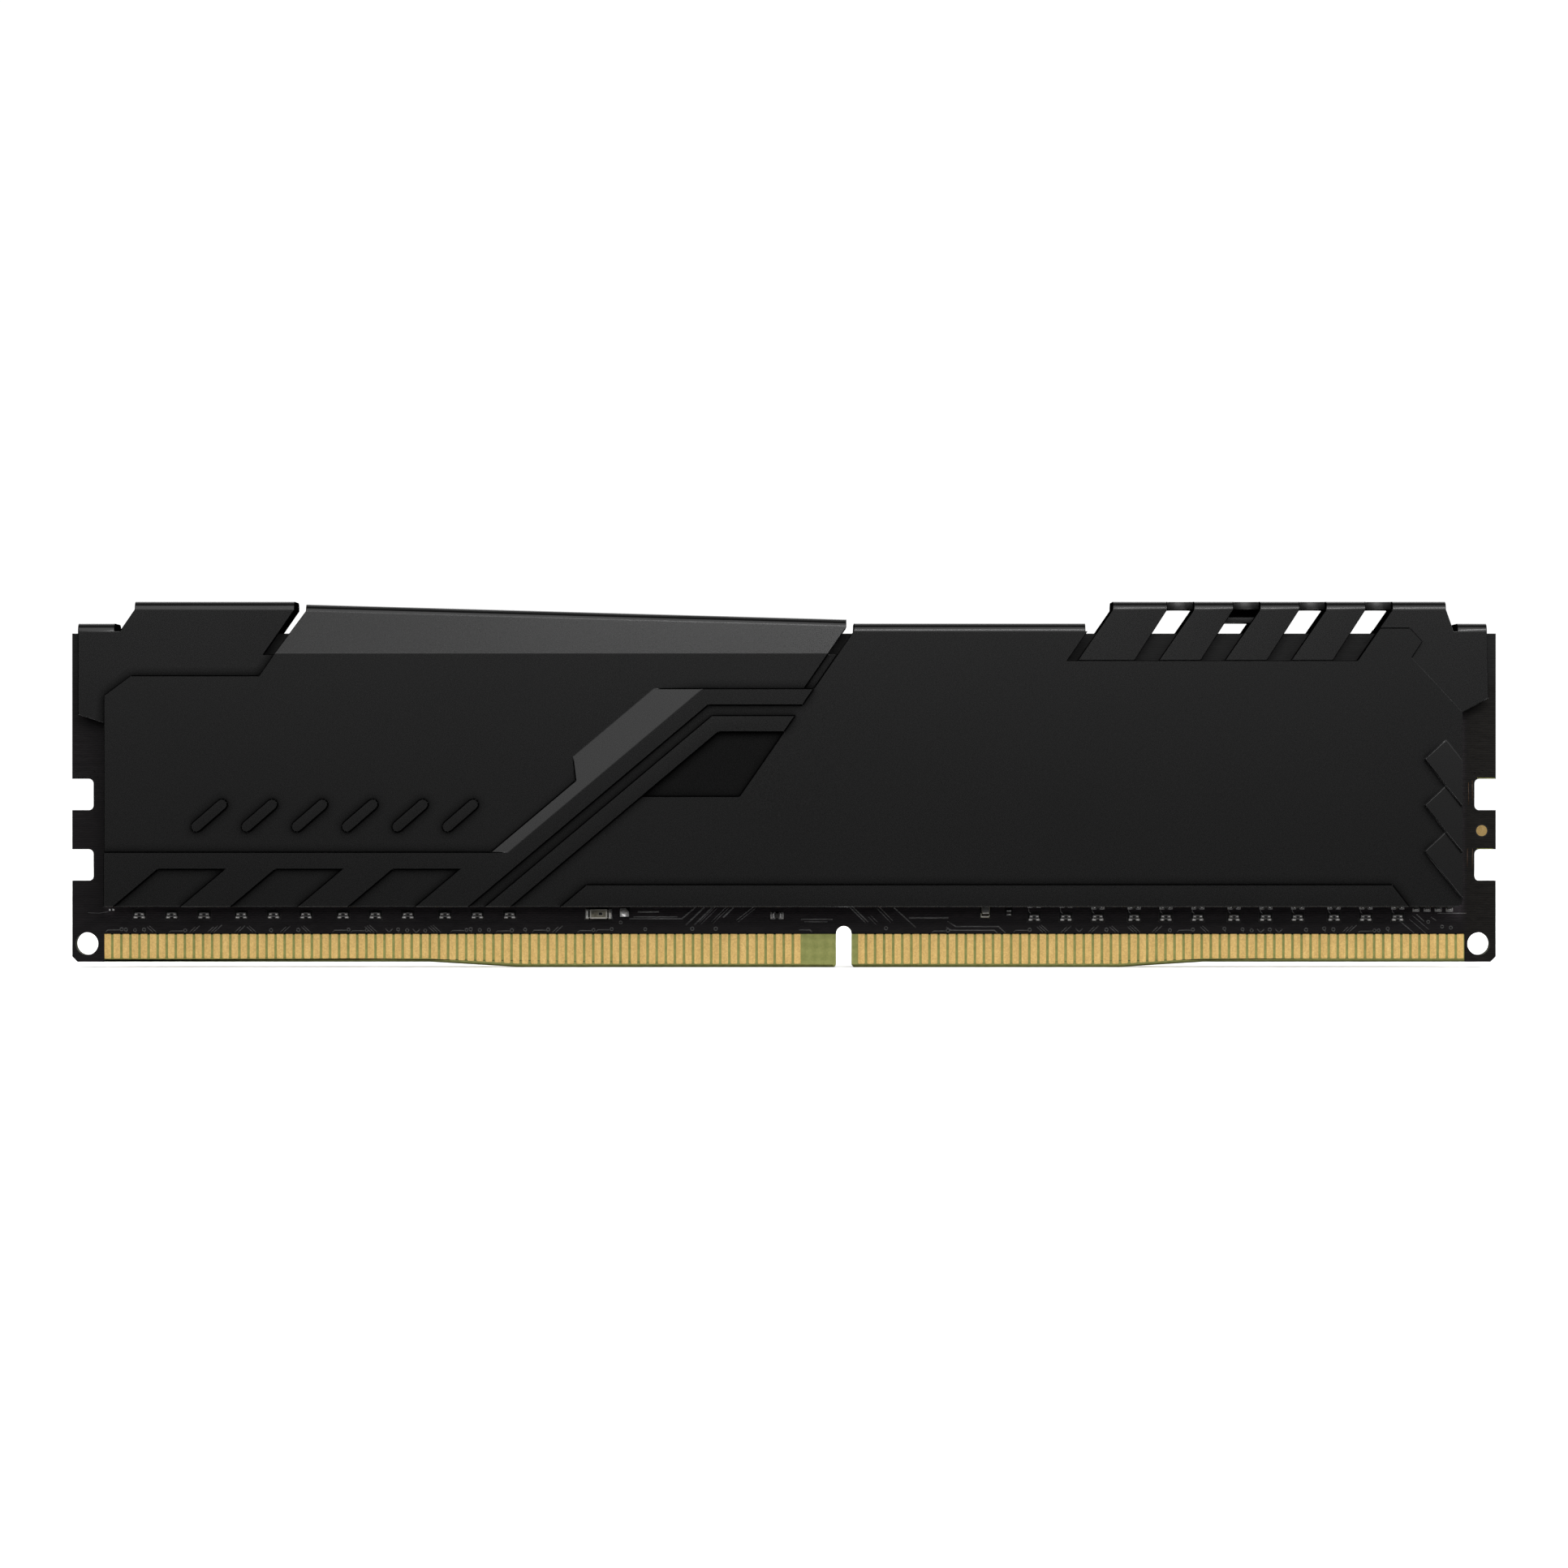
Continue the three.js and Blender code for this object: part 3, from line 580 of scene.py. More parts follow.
def build_mask(side):
    """Solder mask of one face. Its edge stops at the contacts and dips between them."""
    lower_edge = [(BARE_LEFT, EDGE_STEP), (BARE_LEFT, MASK_EDGE)]
    half = FINGER_WIDTH / 2 - 0.02
    for first, count in FINGER_ROWS.values():
        for i in range(count):
            x = first + i * FINGER_PITCH
            if i:
                lower_edge.append((x - FINGER_PITCH / 2, MASK_EDGE - MASK_DIP))
            lower_edge += [(x - half, MASK_EDGE), (x + half, MASK_EDGE)]
        if first < 0:
            lower_edge += [
                (KEY_LEFT - 0.06, MASK_EDGE),
                (KEY_LEFT - 0.06, KEY_TOP + 0.06, KEY_ROOF + 0.05),
                (KEY_RIGHT + 0.06, KEY_TOP + 0.06, KEY_ROOF + 0.05),
                (KEY_RIGHT + 0.06, MASK_EDGE),
            ]
    lower_edge += [(BARE_RIGHT, MASK_EDGE), (BARE_RIGHT, EDGE_STEP)]
    loops = [board_outline(lower_edge), *corner_holes()]
    bands = []
    for first, last in ((BARE_LEFT, KEY_LEFT), (KEY_RIGHT, BARE_RIGHT)):
        rim = [
            Vector(p[:2]) for p in lower_edge if first - 0.01 <= p[0] <= last - 0.05 or p[0] == last
        ]
        rim = [p for p in rim if abs(p.y - MASK_EDGE) < MASK_DIP + 0.01]
        bands.append(rim + [Vector((rim[-1].x, MASK_BAND)), Vector((rim[0].x, MASK_BAND))])

    def build(mesh):
        add_stack(mesh, loops, [(LAMINATE_FACE - 0.01, None), (BOARD_FACE, None)], side)
        # Painted shade: a near-black band along the mask's rim over the contacts
        for band in bands:
            add_prism(mesh, band, BOARD_FACE - 0.005, BOARD_FACE + 0.003, side, MASK_RIM_SHADE)

    return build


def build_fingers(row, side):
    first, count = FINGER_ROWS[row]

    def build(mesh):
        for i in range(count):
            x = first + i * FINGER_PITCH
            left, right = x - FINGER_WIDTH / 2, x + FINGER_WIDTH / 2
            low = [edge_height(end) + FINGER_SETBACK for end in (left, right)]
            top = MASK_EDGE - 0.01
            lower = [(left, low[0], FINGER_RADIUS), (right, low[1], FINGER_RADIUS)]
            points = outline([*lower, (right, top), (left, top)], steps=3)
            centre = Vector((x, (low[0] + MASK_EDGE) / 2))

            def inset(p, centre=centre):
                return towards(centre, p, FINGER_CROWN)

            rim = FINGER_OUT - FINGER_CROWN
            rings = [(LAMINATE_FACE - 0.01, None), (rim, None), (FINGER_OUT, inset)]
            add_stack(mesh, [points], rings, side)

    return build


RESISTOR_ROWS = (
    {"first": -60.37, "group_pitch": 9.54, "pitch": 3.03, "z": 4.99},
    {"first": 23.42, "group_pitch": 9.36, "pitch": 2.98, "z": 4.77},
)
GROUPS = 4
IN_GROUP = 3


def resistor_columns(bank):
    row = RESISTOR_ROWS[bank]
    return [
        row["first"] + group * row["group_pitch"] + i * row["pitch"]
        for group in range(GROUPS)
        for i in range(IN_GROUP)
    ]


# Copper raised under the mask of the front face, as (width, points): runs beside the key notch,
# the slanted group left of it, the long pair at the right and the broad strip by the corner
FRONT_TRACES = [
    (0.13, [(-14.5, 4.55), (-9.55, 4.55), (-8.33, 5.6)]),
    (0.10, [(-14.1, 4.72), (-10.0, 4.72)]),
    (0.13, [(-13.7, 5.19), (-11.7, 5.19)]),
    (0.15, [(-9.2, 3.95), (-7.5, 5.6)]),
    (0.15, [(-8.4, 3.95), (-6.75, 5.6)]),
    (0.22, [(-7.9, 4.05), (-6.35, 5.6)]),
    (0.22, [(-6.75, 4.15), (-5.3, 5.6)]),
    (0.15, [(-5.7, 4.65), (-4.75, 5.6)]),
    (0.22, [(-4.4, 4.3), (-2.75, 5.6)]),
    (0.12, [(1.6, 4.48), (4.55, 4.48)]),
    (0.12, [(1.9, 4.25), (4.1, 4.25)]),
    (0.12, [(1.4, 3.48), (2.4, 3.5), (2.62, 3.3)]),
    (0.12, [(6.2, 5.6), (7.65, 4.15)]),
    (0.12, [(6.45, 5.65), (7.9, 4.2)]),
    (0.25, [(8.0, 4.8), (8.75, 4.05)]),
    (0.25, [(8.8, 5.6), (10.1, 4.25)]),
    (0.12, [(10.3, 5.6), (12.35, 3.7)]),
    (0.15, [(11.7, 4.62), (15.4, 4.62)]),
    (0.11, [(15.3, 4.3), (16.1, 3.8), (20.1, 3.8), (20.75, 3.2)]),
    (0.11, [(15.2, 3.75), (15.65, 3.45), (19.7, 3.45), (19.98, 3.2)]),
    (0.10, [(57.6, 4.4), (59.0, 3.2)]),
    (0.45, [(58.7, 4.7), (60.25, 3.35)]),
    (0.10, [(59.25, 4.95), (59.95, 4.3)]),
    (0.06, [(61.2, 5.05), (63.9, 5.05)]),
    (0.10, [(60.6, 4.7), (61.1, 4.35)]),
    (0.06, [(-63.3, 5.2), (-64.2, 5.05), (-65.2, 5.1)]),
]

# Marks by the latch notches: dark gaps in the mask, its bare rim and streaks of resin
FRONT_GAPS = [
    (0.07, [(-66.4, 18.36), (-65.5, 18.38), (-65.25, 18.62), (-64.8, 18.5), (-64.55, 18.3)]),
    (0.08, [(-66.2, 17.77), (-65.2, 17.80), (-64.95, 17.92)]),
    (0.07, [(-64.6, 17.80), (-64.2, 17.82)]),
    (0.06, [(64.6, 18.22), (65.3, 18.12)]),
    (0.06, [(65.3, 18.42), (65.8, 18.32), (66.3, 18.30)]),
]
NOTCH_RIMS = [
    (0.07, [(64.9, 17.72), (66.6, 17.70)]),
    (0.06, [(64.9, 11.11), (66.4, 11.10)]),
]
RESIN_STREAKS = [
    (0.06, [(64.12, 17.3), (64.13, 15.2)]),
    (0.06, [(64.47, 17.5), (64.48, 15.6)]),
    (0.06, [(64.03, 11.1), (64.0, 9.4)]),
    (0.06, [(64.50, 11.1), (64.46, 9.2)]),
]
FRONT_VIAS = [
    (60.35, 4.25), (61.64, 3.8), (62.46, 3.7), (9.55, 3.65), (-13.0, 3.55), (-15.3, 4.2),
    (-8.6, 3.6), (-6.4, 3.6),
]

# Width of a short run, width from which only a run's flanks stand out, and the flanks' own width
THIN_TRACE = 0.09
BROAD_TRACE = 0.2
FLANK_WIDTH = 0.07
# Heights above the mask
TRACE_RISE = 0.02
VIA_RISE = 0.022
MARK_RISE = 0.006

# Stretches along X where the short runs give way to the drawn ones, and the seed of the rest
DRAWN = {FRONT: [(-16, 12.8), (15, 21.3), (57.3, 64)], REAR: [(2.6, 8)]}
RELIEF_SEED = {FRONT: 11, REAR: 23}

RELIEF_MATERIALS = [MASK_OVER_COPPER_AND_HIGHLIGHT, MASK_GAP, LAMINATE, RESIN_STAIN]
OVER_COPPER_AND_HIGHLIGHT, IN_GAP, ON_RIM, IN_STREAK = range(len(RELIEF_MATERIALS))


def trace_sections(points, width):
    """Left and right edge points of a run of constant width with mitred bends."""
    path = [Vector(p) for p in points]
    headings = [(b - a).normalized() for a, b in zip(path, path[1:])]
    pairs = []
    for i, p in enumerate(path):
        before, after = headings[max(i - 1, 0)], headings[min(i, len(headings) - 1)]
        tangent = (before + after).normalized()
        across = Vector((-tangent.y, tangent.x))
        reach = width / 2 / max(0.5, tangent.dot(after))
        pairs.append((p + across * reach, p - across * reach))
    return pairs


def add_trace(mesh, points, width, side, height, material=OVER_COPPER_AND_HIGHLIGHT):
    """Raised run of copper under the mask, with sloping flanks."""
    base, top = BOARD_FACE - 0.01, BOARD_FACE + height
    foot = trace_sections(points, width + 0.02)
    crest = trace_sections(points, width - 0.03)
    rings = []
    for (fl, fr), (cl, cr) in zip(foot, crest):
        corners = [(fl, base), (cl, top), (cr, top), (fr, base)]
        rings.append([(p.x, side * out, p.y) for p, out in corners])
    add_tube(mesh, rings, material)


def add_via(mesh, x, z, radius, side, height):
    """Thin raised ring round the dark dimple of a plugged hole."""
    sides = 14
    profile = [
        (radius + 0.03, -0.01),
        (radius + 0.01, height),
        (radius * 0.78, height),
        (radius * 0.6, 0.2 * height),
    ]
    rings = []
    for reach, rise in profile:
        points = circle(x, z, reach, sides)
        rings.append([(p.x, side * (BOARD_FACE + rise), p.y) for p in points])
    add_tube(mesh, rings, OVER_COPPER_AND_HIGHLIGHT, last=IN_GAP)


def contact_traces(draw, keep_out):
    """Short runs and vias just above the contacts: slanted groups, vees, jogs and rings."""
    traces, vias = [], []
    start = MASK_BAND + 0.03
    for first, count in FINGER_ROWS.values():
        i = 0
        while i < count:
            x = first + i * FINGER_PITCH
            kind = draw.choice(("via", "slant", "vee", "jog", "slant", "bare", "via"))
            lean = draw.choice((-1, 1, 1)) if first < 0 else draw.choice((-1, -1, 1))
            if any(low < x < high for low, high in keep_out):
                kind = "bare"
            if kind == "via":
                top = start + 0.16 + draw.uniform(0, 0.2)
                traces.append((THIN_TRACE, [(x + 0.1, start), (x + 0.04, top - 0.14)]))
                vias.append((x, top))
            elif kind == "slant":
                for k in range(draw.choice((2, 3))):
                    foot = x + 0.3 * k
                    rise = 0.52 + 0.08 * k
                    head = (foot + lean * rise * 1.1, start + rise)
                    traces.append((THIN_TRACE, [(foot, start), head]))
                i += 1
            elif kind == "vee":
                low = start + draw.uniform(0.02, 0.1)
                foot = [(x - 0.08, low), (x + 0.08, low)]
                vee = [(x - 0.34, low + 0.3), *foot, (x + 0.34, low + 0.28)]
                traces.append((THIN_TRACE, vee))
            elif kind == "jog":
                level = start + draw.uniform(0.1, 0.24)
                end = x + 1.3 * FINGER_PITCH
                traces.append((THIN_TRACE, [(x - 0.2, start), (x, level), (end, level)]))
                vias.append((end + 0.2, level + 0.06))
                i += 1
            i += 1
    return traces, vias


def build_relief(side):
    draw = random.Random(RELIEF_SEED[side])
    traces, vias = contact_traces(draw, DRAWN[side])
    if side == FRONT:
        traces = traces + FRONT_TRACES + [
            (0.06, [(x - 0.5, 5.6), (x - 0.48, 5.2), (x - 0.3, 5.02)]) for x in resistor_columns(1)
        ]
        vias = vias + FRONT_VIAS

    def build(mesh):
        for width, points in traces:
            if width < BROAD_TRACE:
                add_trace(mesh, points, width, side, TRACE_RISE)
                continue
            # Only the two flanks of a broad run stand out, as thin lines of painted highlight
            for flank in zip(*trace_sections(points, width)):
                add_trace(mesh, flank, FLANK_WIDTH, side, TRACE_RISE)
        for x, z in vias:
            add_via(mesh, x, z, draw.uniform(0.15, 0.18), side, VIA_RISE)
        if side == FRONT:
            marks = (FRONT_GAPS, IN_GAP), (NOTCH_RIMS, ON_RIM), (RESIN_STREAKS, IN_STREAK)
            for lines, material in marks:
                for width, points in lines:
                    add_trace(mesh, points, width, side, MARK_RISE, material)

    return build


laminate_data = make_mesh("board_laminate", build_laminate, [LAMINATE, ROUTED])
shade(place("board_laminate", laminate_data, "bare_laminate", ["pcb"]))
for face, side in SIDES.items():
    name = f"solder_mask_{face}"
    place(name, make_mesh(name, build_mask(side), [MASK, MASK_GAP]), "solder_mask")
    name = f"copper_relief_{face}"
    shade(place(name, make_mesh(name, build_relief(side), RELIEF_MATERIALS), "solder_mask"))
    for row in FINGER_ROWS:
        name = f"gold_contacts_{face}_{row}"
        data = make_mesh(name, build_fingers(row, side), [GOLD])
        place(name, data, "gold_contact", [f"contacts_{face}_{row}"])


def build_test_pad(mesh):
    """Flat round pad in a slightly wider opening of the mask, whose near-black ring is painted
    shade.
    """
    metal, opening = range(2)
    seat = BOARD_FACE - 0.01
    add_prism(mesh, circle(0, 0, 0.61, 40), seat, BOARD_FACE + 0.004, material=opening)
    add_prism(mesh, circle(0, 0, 0.51, 40), seat, BOARD_FACE + 0.012, material=metal)


test_pad = make_mesh("test_pad", build_test_pad, [DULL_GOLD, OPENING_AND_SHADE])
for face, side in SIDES.items():
    place(f"test_pad_{face}", test_pad, "gold_contact", at=(65.35, 12.79), side=side)


# ---- Small parts ----

# Material numbers of a small part, in the order that small_part gives them
CORE, PLATED, INSET, BARED_AND_SHADE, SOLDERED = range(5)


def add_row(mesh, x, out, z, bevel, material, end=1, segments=2):
    """Rounded block over a range of x, height above the board and z. End -1 mirrors it in x."""
    x0, x1 = sorted((end * x[0], end * x[1]))
    low, high = (x0, BOARD_FACE + out[0], z[0]), (x1, BOARD_FACE + out[1], z[1])
    add_block(mesh, low, high, bevel, material, segments)


def add_opening(mesh, x, z):
    """Dark rectangle round a part where the mask is open and the board shows; its near-black tone
    is painted shade.
    """
    add_row(mesh, x, (-0.01, 0.004), z, 0.003, BARED_AND_SHADE, segments=1)


def build_resistor(mesh):
    """Chip resistor along X: dark glaze in a pale rim, plated ends with solder banked up below."""
    add_opening(mesh, (-0.66, 0.66), (-0.54, 0.38))
    add_row(mesh, (-0.42, 0.42), (0.02, 0.28), (-0.26, 0.13), 0.03, INSET)
    add_row(mesh, (-0.19, 0.19), (0.20, 0.32), (0.075, 0.135), 0.02, CORE)
    for end in (-1, 1):
        add_row(mesh, (0.135, 0.18), (0.20, 0.31), (-0.12, 0.12), 0.015, CORE, end)
        add_row(mesh, (0.165, 0.435), (0.02, 0.35), (-0.105, 0.07), 0.05, SOLDERED, end)
        add_row(mesh, (0.18, 0.43), (0.02, 0.24), (-0.26, 0.0), 0.03, PLATED, end)
        add_row(mesh, (0.14, 0.545), (0, 0.22), (-0.43, -0.195), 0.08, SOLDERED, end)


def build_capacitor(mesh, terminal=PLATED, inner=0.2):
    """Small ceramic capacitor along X with solder climbing both ends."""
    add_opening(mesh, (-0.6, 0.6), (-0.36, 0.36))
    add_row(mesh, (-0.42, 0.42), (0.03, 0.34), (-0.22, 0.22), 0.03, CORE)
    for end in (-1, 1):
        add_row(mesh, (inner, 0.47), (0.02, 0.38), (-0.25, 0.25), 0.055, terminal, end)
        add_fillet(mesh, end, 0.47, 0.25, 0.38, 0.47 - inner)


def build_end_capacitor(mesh):
    # Painted light: solder-bright ends in place of plated ones, to lift the skirt's shade on this
    # row
    build_capacitor(mesh, terminal=SOLDERED, inner=0.3)


def build_tiny_capacitor(mesh):
    add_row(mesh, (-0.24, 0.24), (0.03, 0.22), (-0.09, 0.09), 0.02, CORE)
    for end in (-1, 1):
        add_row(mesh, (0.05, 0.28), (0.02, 0.24), (-0.11, 0.11), 0.035, SOLDERED, end)


def build_bulk_capacitor(mesh):
    """Large pale capacitor: rimmed, stained body with a pit of painted shade, between two
    solder-coated ends.
    """
    add_opening(mesh, (-1.3, 1.3), (-0.56, 0.56))
    # Painted shade: a dark block showing between the body and its ends
    add_row(mesh, (-1.0, 1.0), (0.03, 0.6), (-0.36, 0.36), 0.04, BARED_AND_SHADE)
    add_row(mesh, (-0.80, 0.82), (0.05, 0.74), (-0.445, 0.445), 0.06, CORE)
    add_row(mesh, (-0.70, 0.71), (0.6, 0.755), (-0.33, 0.34), 0.02, INSET)
    add_row(mesh, (0.02, 0.40), (0.7, 0.762), (-0.13, 0.16), 0.02, BARED_AND_SHADE)
    for end, top in ((-1, 0.38), (1, 0.16)):
        add_row(mesh, (0.93, 1.17), (0, 0.62), (-0.45, top), 0.07, SOLDERED, end)
        add_fillet(mesh, end, 1.1, 0.40, 0.5, 0.15)


def build_notched_capacitor(mesh):
    """Pale block standing at the skirt, cut away at its upper right corner."""
    body = outline([
        (-0.42, -0.40, 0.08), (0.43, -0.40, 0.08),
        (0.43, 0.06, 0.05), (0.14, 0.42, 0.03), (-0.40, 0.42, 0.03),
    ])
    foot = outline([(-0.5, -0.5, 0.05), (0.5, -0.5, 0.05), (0.5, 0.5, 0.05), (-0.5, 0.5, 0.05)])
    add_prism(mesh, foot, BOARD_FACE - 0.01, BOARD_FACE + 0.004, material=BARED_AND_SHADE)
    add_prism(mesh, body, BOARD_FACE, BOARD_FACE + 0.42, material=SOLDERED)
    add_row(mesh, (-0.3, 0.2), (0.4, 0.46), (-0.1, 0.3), 0.03, PLATED)


def build_banded_capacitor(mesh):
    """Grey capacitor standing on end: body at the skirt, plated band, solder cup below."""
    add_opening(mesh, (-0.52, 0.52), (-0.6, 0.6))
    add_row(mesh, (-0.36, 0.40), (0.03, 0.44), (-0.02, 0.5), 0.04, INSET)
    add_row(mesh, (-0.31, 0.36), (0.02, 0.47), (-0.16, 0.02), 0.05, SOLDERED)
    add_row(mesh, (-0.44, 0.40), (0, 0.2), (-0.53, -0.32), 0.08, SOLDERED)
    add_row(mesh, (-0.46, -0.34), (0, 0.2), (-0.45, -0.05), 0.05, PLATED)
    add_row(mesh, (0.32, 0.41), (0, 0.2), (-0.45, -0.22), 0.03, PLATED)


def build_stacked_capacitor(mesh):
    """Smallest capacitor, standing on end: two plated ends and the body between."""
    add_opening(mesh, (-0.36, 0.36), (-0.4, 0.4))
    add_row(mesh, (-0.2, 0.2), (0.02, 0.24), (-0.24, 0.26), 0.03, CORE)
    add_row(mesh, (-0.25, 0.25), (0, 0.28), (-0.29, -0.13), 0.05, SOLDERED)
    add_row(mesh, (-0.22, 0.25), (0, 0.28), (0.06, 0.24), 0.05, SOLDERED)


def add_fillet(mesh, end, half, rim, height, terminal):
    """Concave solder wedge that climbs the end and the lower flank of a terminal."""
    base = BOARD_FACE - 0.005
    steps = 5
    climb, spread = 0.75 * height, 0.16
    rings = []
    for k in range(steps + 1):
        t = k / steps
        reach = spread * (1 - t) ** 2
        rise = climb * t
        x0 = half - terminal - 0.3 * reach
        x1 = half + reach
        z = rim + 0.55 * reach
        corners = [(x0, -z), (x1, -z), (x1, z), (x0, z)]
        rings.append([(end * x, -(base + rise), z) for x, z in corners])
    add_tube(mesh, rings, SOLDERED)


def put(name, data, slot, at, side=FRONT, replaces=(), upright=False):
    piece = place(name, data, slot, replaces, at, side)
    if upright:
        piece.rotation_euler = (0, math.pi / 2, 0)
    shade(piece)
    return piece


def small_part(name, build, core, inset=GLAZE):
    return make_mesh(name, build, [core, TIN, inset, OPENING_AND_SHADE, SOLDER])


resistor = small_part("chip_resistor", build_resistor, ALUMINA)
small_capacitor = small_part("small_capacitor", build_capacitor, DARK_CERAMIC)
end_capacitor = small_part("end_capacitor", build_end_capacitor, DARK_CERAMIC)
tiny_capacitor = small_part("tiny_capacitor", build_tiny_capacitor, DARK_CERAMIC)
bulk_capacitor = small_part("bulk_capacitor", build_bulk_capacitor, PALE_CERAMIC, CERAMIC)
notched_capacitor = small_part("notched_capacitor", build_notched_capacitor, CERAMIC)
banded_capacitor = small_part("banded_capacitor", build_banded_capacitor, CERAMIC, GREY_CERAMIC)
stacked_capacitor = small_part("stacked_capacitor", build_stacked_capacitor, DARK_CERAMIC)

for bank, row in enumerate(RESISTOR_ROWS):
    for i, x in enumerate(resistor_columns(bank)):
        number = bank * GROUPS * IN_GROUP + i + 1
        node = f"resistor_{number}"
        put(f"chip_{node}", resistor, "resistor_body", (x, row["z"]), replaces=[node])

# Second row, close under the skirt, and the four parts standing on end to the right of it
SECOND_ROW_Z = 5.74
SECOND_ROW_RISE = 0.16
END_ROW = {"first": 59.2, "pitch": 1.04, "z": 5.82}
for i, x in enumerate(resistor_columns(1)):
    # The first few sit a little higher, wholly in the shade of the skirt
    z = SECOND_ROW_Z + (SECOND_ROW_RISE if i < 2 else 0)
    put(f"second_row_capacitor_{i + 1}", small_capacitor, "ceramic_body", (x + 0.03, z))
for i in range(4):
    at = (END_ROW["first"] + END_ROW["pitch"] * i, END_ROW["z"])
    put(f"end_capacitor_{i + 1}", end_capacitor, "ceramic_body", at, upright=True)
put("corner_capacitor", tiny_capacitor, "ceramic_body", (-62.95, 5.38))

FITTED_CAPACITORS = (
    ("bulk_capacitor_fitted", bulk_capacitor, (-17.36, 5.0), "bulk_capacitor"),
    ("supply_capacitor_fitted_1", notched_capacitor, (-14.95, 5.12), "supply_capacitor_1"),
    ("supply_capacitor_fitted_2", banded_capacitor, (18.86, 5.15), "supply_capacitor_2"),
    ("supply_capacitor_fitted_3", stacked_capacitor, (21.05, 5.13), "supply_capacitor_3"),
    ("supply_capacitor_fitted_4", small_capacitor, (-0.65, 4.84), "supply_capacitor_4"),
)
for name, data, at, node in FITTED_CAPACITORS:
    put(name, data, "ceramic_body", at, replaces=[node])

REAR_COLUMNS = [-58.9 + 4.77 * i for i in range(12)] + [14.2 + 4.68 * i for i in range(11)]
for i, x in enumerate(REAR_COLUMNS):
    put(f"rear_capacitor_{i + 1}", small_capacitor, "ceramic_body", (x, 4.75), REAR)


# ---- Memory chips, configuration memory and thermal pads ----

CHIP_WIDTH = 7.5
CHIP_HEIGHT = 11.0
CHIP_TOP = 1.8
CHIP_CENTRE = 14.5
CHIP_COLUMNS = (-57.3, -47.75, -38.2, -28.7, 26.5, 35.7, 45.1, 54.4)
BALL_ROW_PITCH = 0.776
BALL_RADIUS = 0.22
BALL_COLUMNS = (-3.2, -2.4, -1.6, 1.6, 2.4, 3.2)
BALL_ROWS = 13


def build_chip(mesh):
    """Ball-grid package: moulding with rounded edges on a thin substrate and solder balls."""
    moulding, substrate, balls = range(3)
    wide, high = CHIP_WIDTH / 2, CHIP_HEIGHT / 2
    seat, joint = BOARD_FACE + 0.27, BOARD_FACE + 0.45
    add_block(mesh, (-wide, seat, -high), (wide, joint, high), 0.02, substrate)
    wide, high = wide - 0.02, high - 0.02
    add_block(mesh, (-wide, joint, -high), (wide, CHIP_TOP, high), 0.08, moulding)
    for column in BALL_COLUMNS:
        for row in range(BALL_ROWS):
            z = (row - (BALL_ROWS - 1) / 2) * BALL_ROW_PITCH
            centre = Vector((column, -(BOARD_FACE + 0.14), z))
            ball = Matrix.LocRotScale(centre, None, Vector((1, 0.7, 1)))
            made = bmesh.ops.create_uvsphere(
                mesh, u_segments=10, v_segments=6, radius=BALL_RADIUS, matrix=ball
            )
            for face in {f for v in made["verts"] for f in v.link_faces}:
                face.material_index = balls


chip = make_mesh("memory_chip", build_chip, [EPOXY, SUBSTRATE, TIN])
for face, side in SIDES.items():
    for i, x in enumerate(CHIP_COLUMNS):
        name = f"dram_{face}_{i + 1}"
        put(f"memory_chip_{face}_{i + 1}", chip, "moulded_epoxy", (x, CHIP_CENTRE), side, [name])


def build_spd(mesh):
    """Flat eight-lead package with its side pads."""
    body, leads = range(2)
    add_row(mesh, (-1.45, 1.45), (0.06, 0.75), (-0.95, 0.95), 0.05, body)
    for lead in range(4):
        x = (lead - 1.5) * 0.65
        for end in (-1, 1):
            z = sorted((end * 1.0, end * 0.7))
            add_row(mesh, (x - 0.13, x + 0.13), (0, 0.16), z, 0.03, leads)


spd = make_mesh("configuration_memory", build_spd, [EPOXY, TIN])
put("configuration_memory", spd, "moulded_epoxy", (-3.2, 14), replaces=["spd_eeprom"])


def build_pad(mesh):
    """Soft gap pad: its edge bulges and wanders a little where it is pressed."""
    draw = random.Random(5)
    low, high = Vector((-61.9, CHIP_CENTRE - 5.2)), Vector((59.0, CHIP_CENTRE + 5.2))
    step = 1.6
    across, up = int((high.x - low.x) / step), int((high.y - low.y) / step)
    xs = [low.x + (high.x - low.x) * k / across for k in range(across + 1)]
    zs = [low.y + (high.y - low.y) * k / up for k in range(up + 1)]
    points = [Vector((x, low.y)) for x in xs] + [Vector((high.x, z)) for z in zs[1:]]
    points += [Vector((x, high.y)) for x in xs[-2::-1]] + [Vector((low.x, z)) for z in zs[-2:0:-1]]
    centre = (low + high) / 2
    wander = [draw.uniform(0.0, 0.12) for _ in points]

    def pressed(depth):
        def moved(p):
            return towards(centre, p, depth + wander[points.index(p)])

        return moved

    bottom, top = CHIP_TOP, 2.45
    rim, middle = pressed(0.12), pressed(0.02)
    rings = [(bottom, rim), (bottom + 0.2, middle), (top - 0.2, middle), (top, rim)]
    add_stack(mesh, [points], rings)


pad = make_mesh("gap_pad", build_pad, [PAD])
for face, side in SIDES.items():
    # The rear pad is the front one mirrored, so that both lie over the same chips
    piece = put(f"gap_pad_{face}", pad, "thermal_pad", (0, 0), FRONT, [f"thermal_pad_{face}"])
    if side == REAR:
        piece.scale = (1, -1, 1)


# ---- Heat spreader ----

def is_flat(face):
    """True for the broad faces that lie along the board, tilted by a fin's lean at most."""
    return abs(face.normal.y) > 0.95


def is_step_wall(face):
    """True for the upright wall between two levels of the stamping."""
    if abs(face.normal.y) > 0.1:
        return False
    feet = [e for e in face.edges if e.calc_face_angle_signed(0) < -CREASE_ANGLE]
    return any(is_flat(other) for edge in feet for other in edge.link_faces)


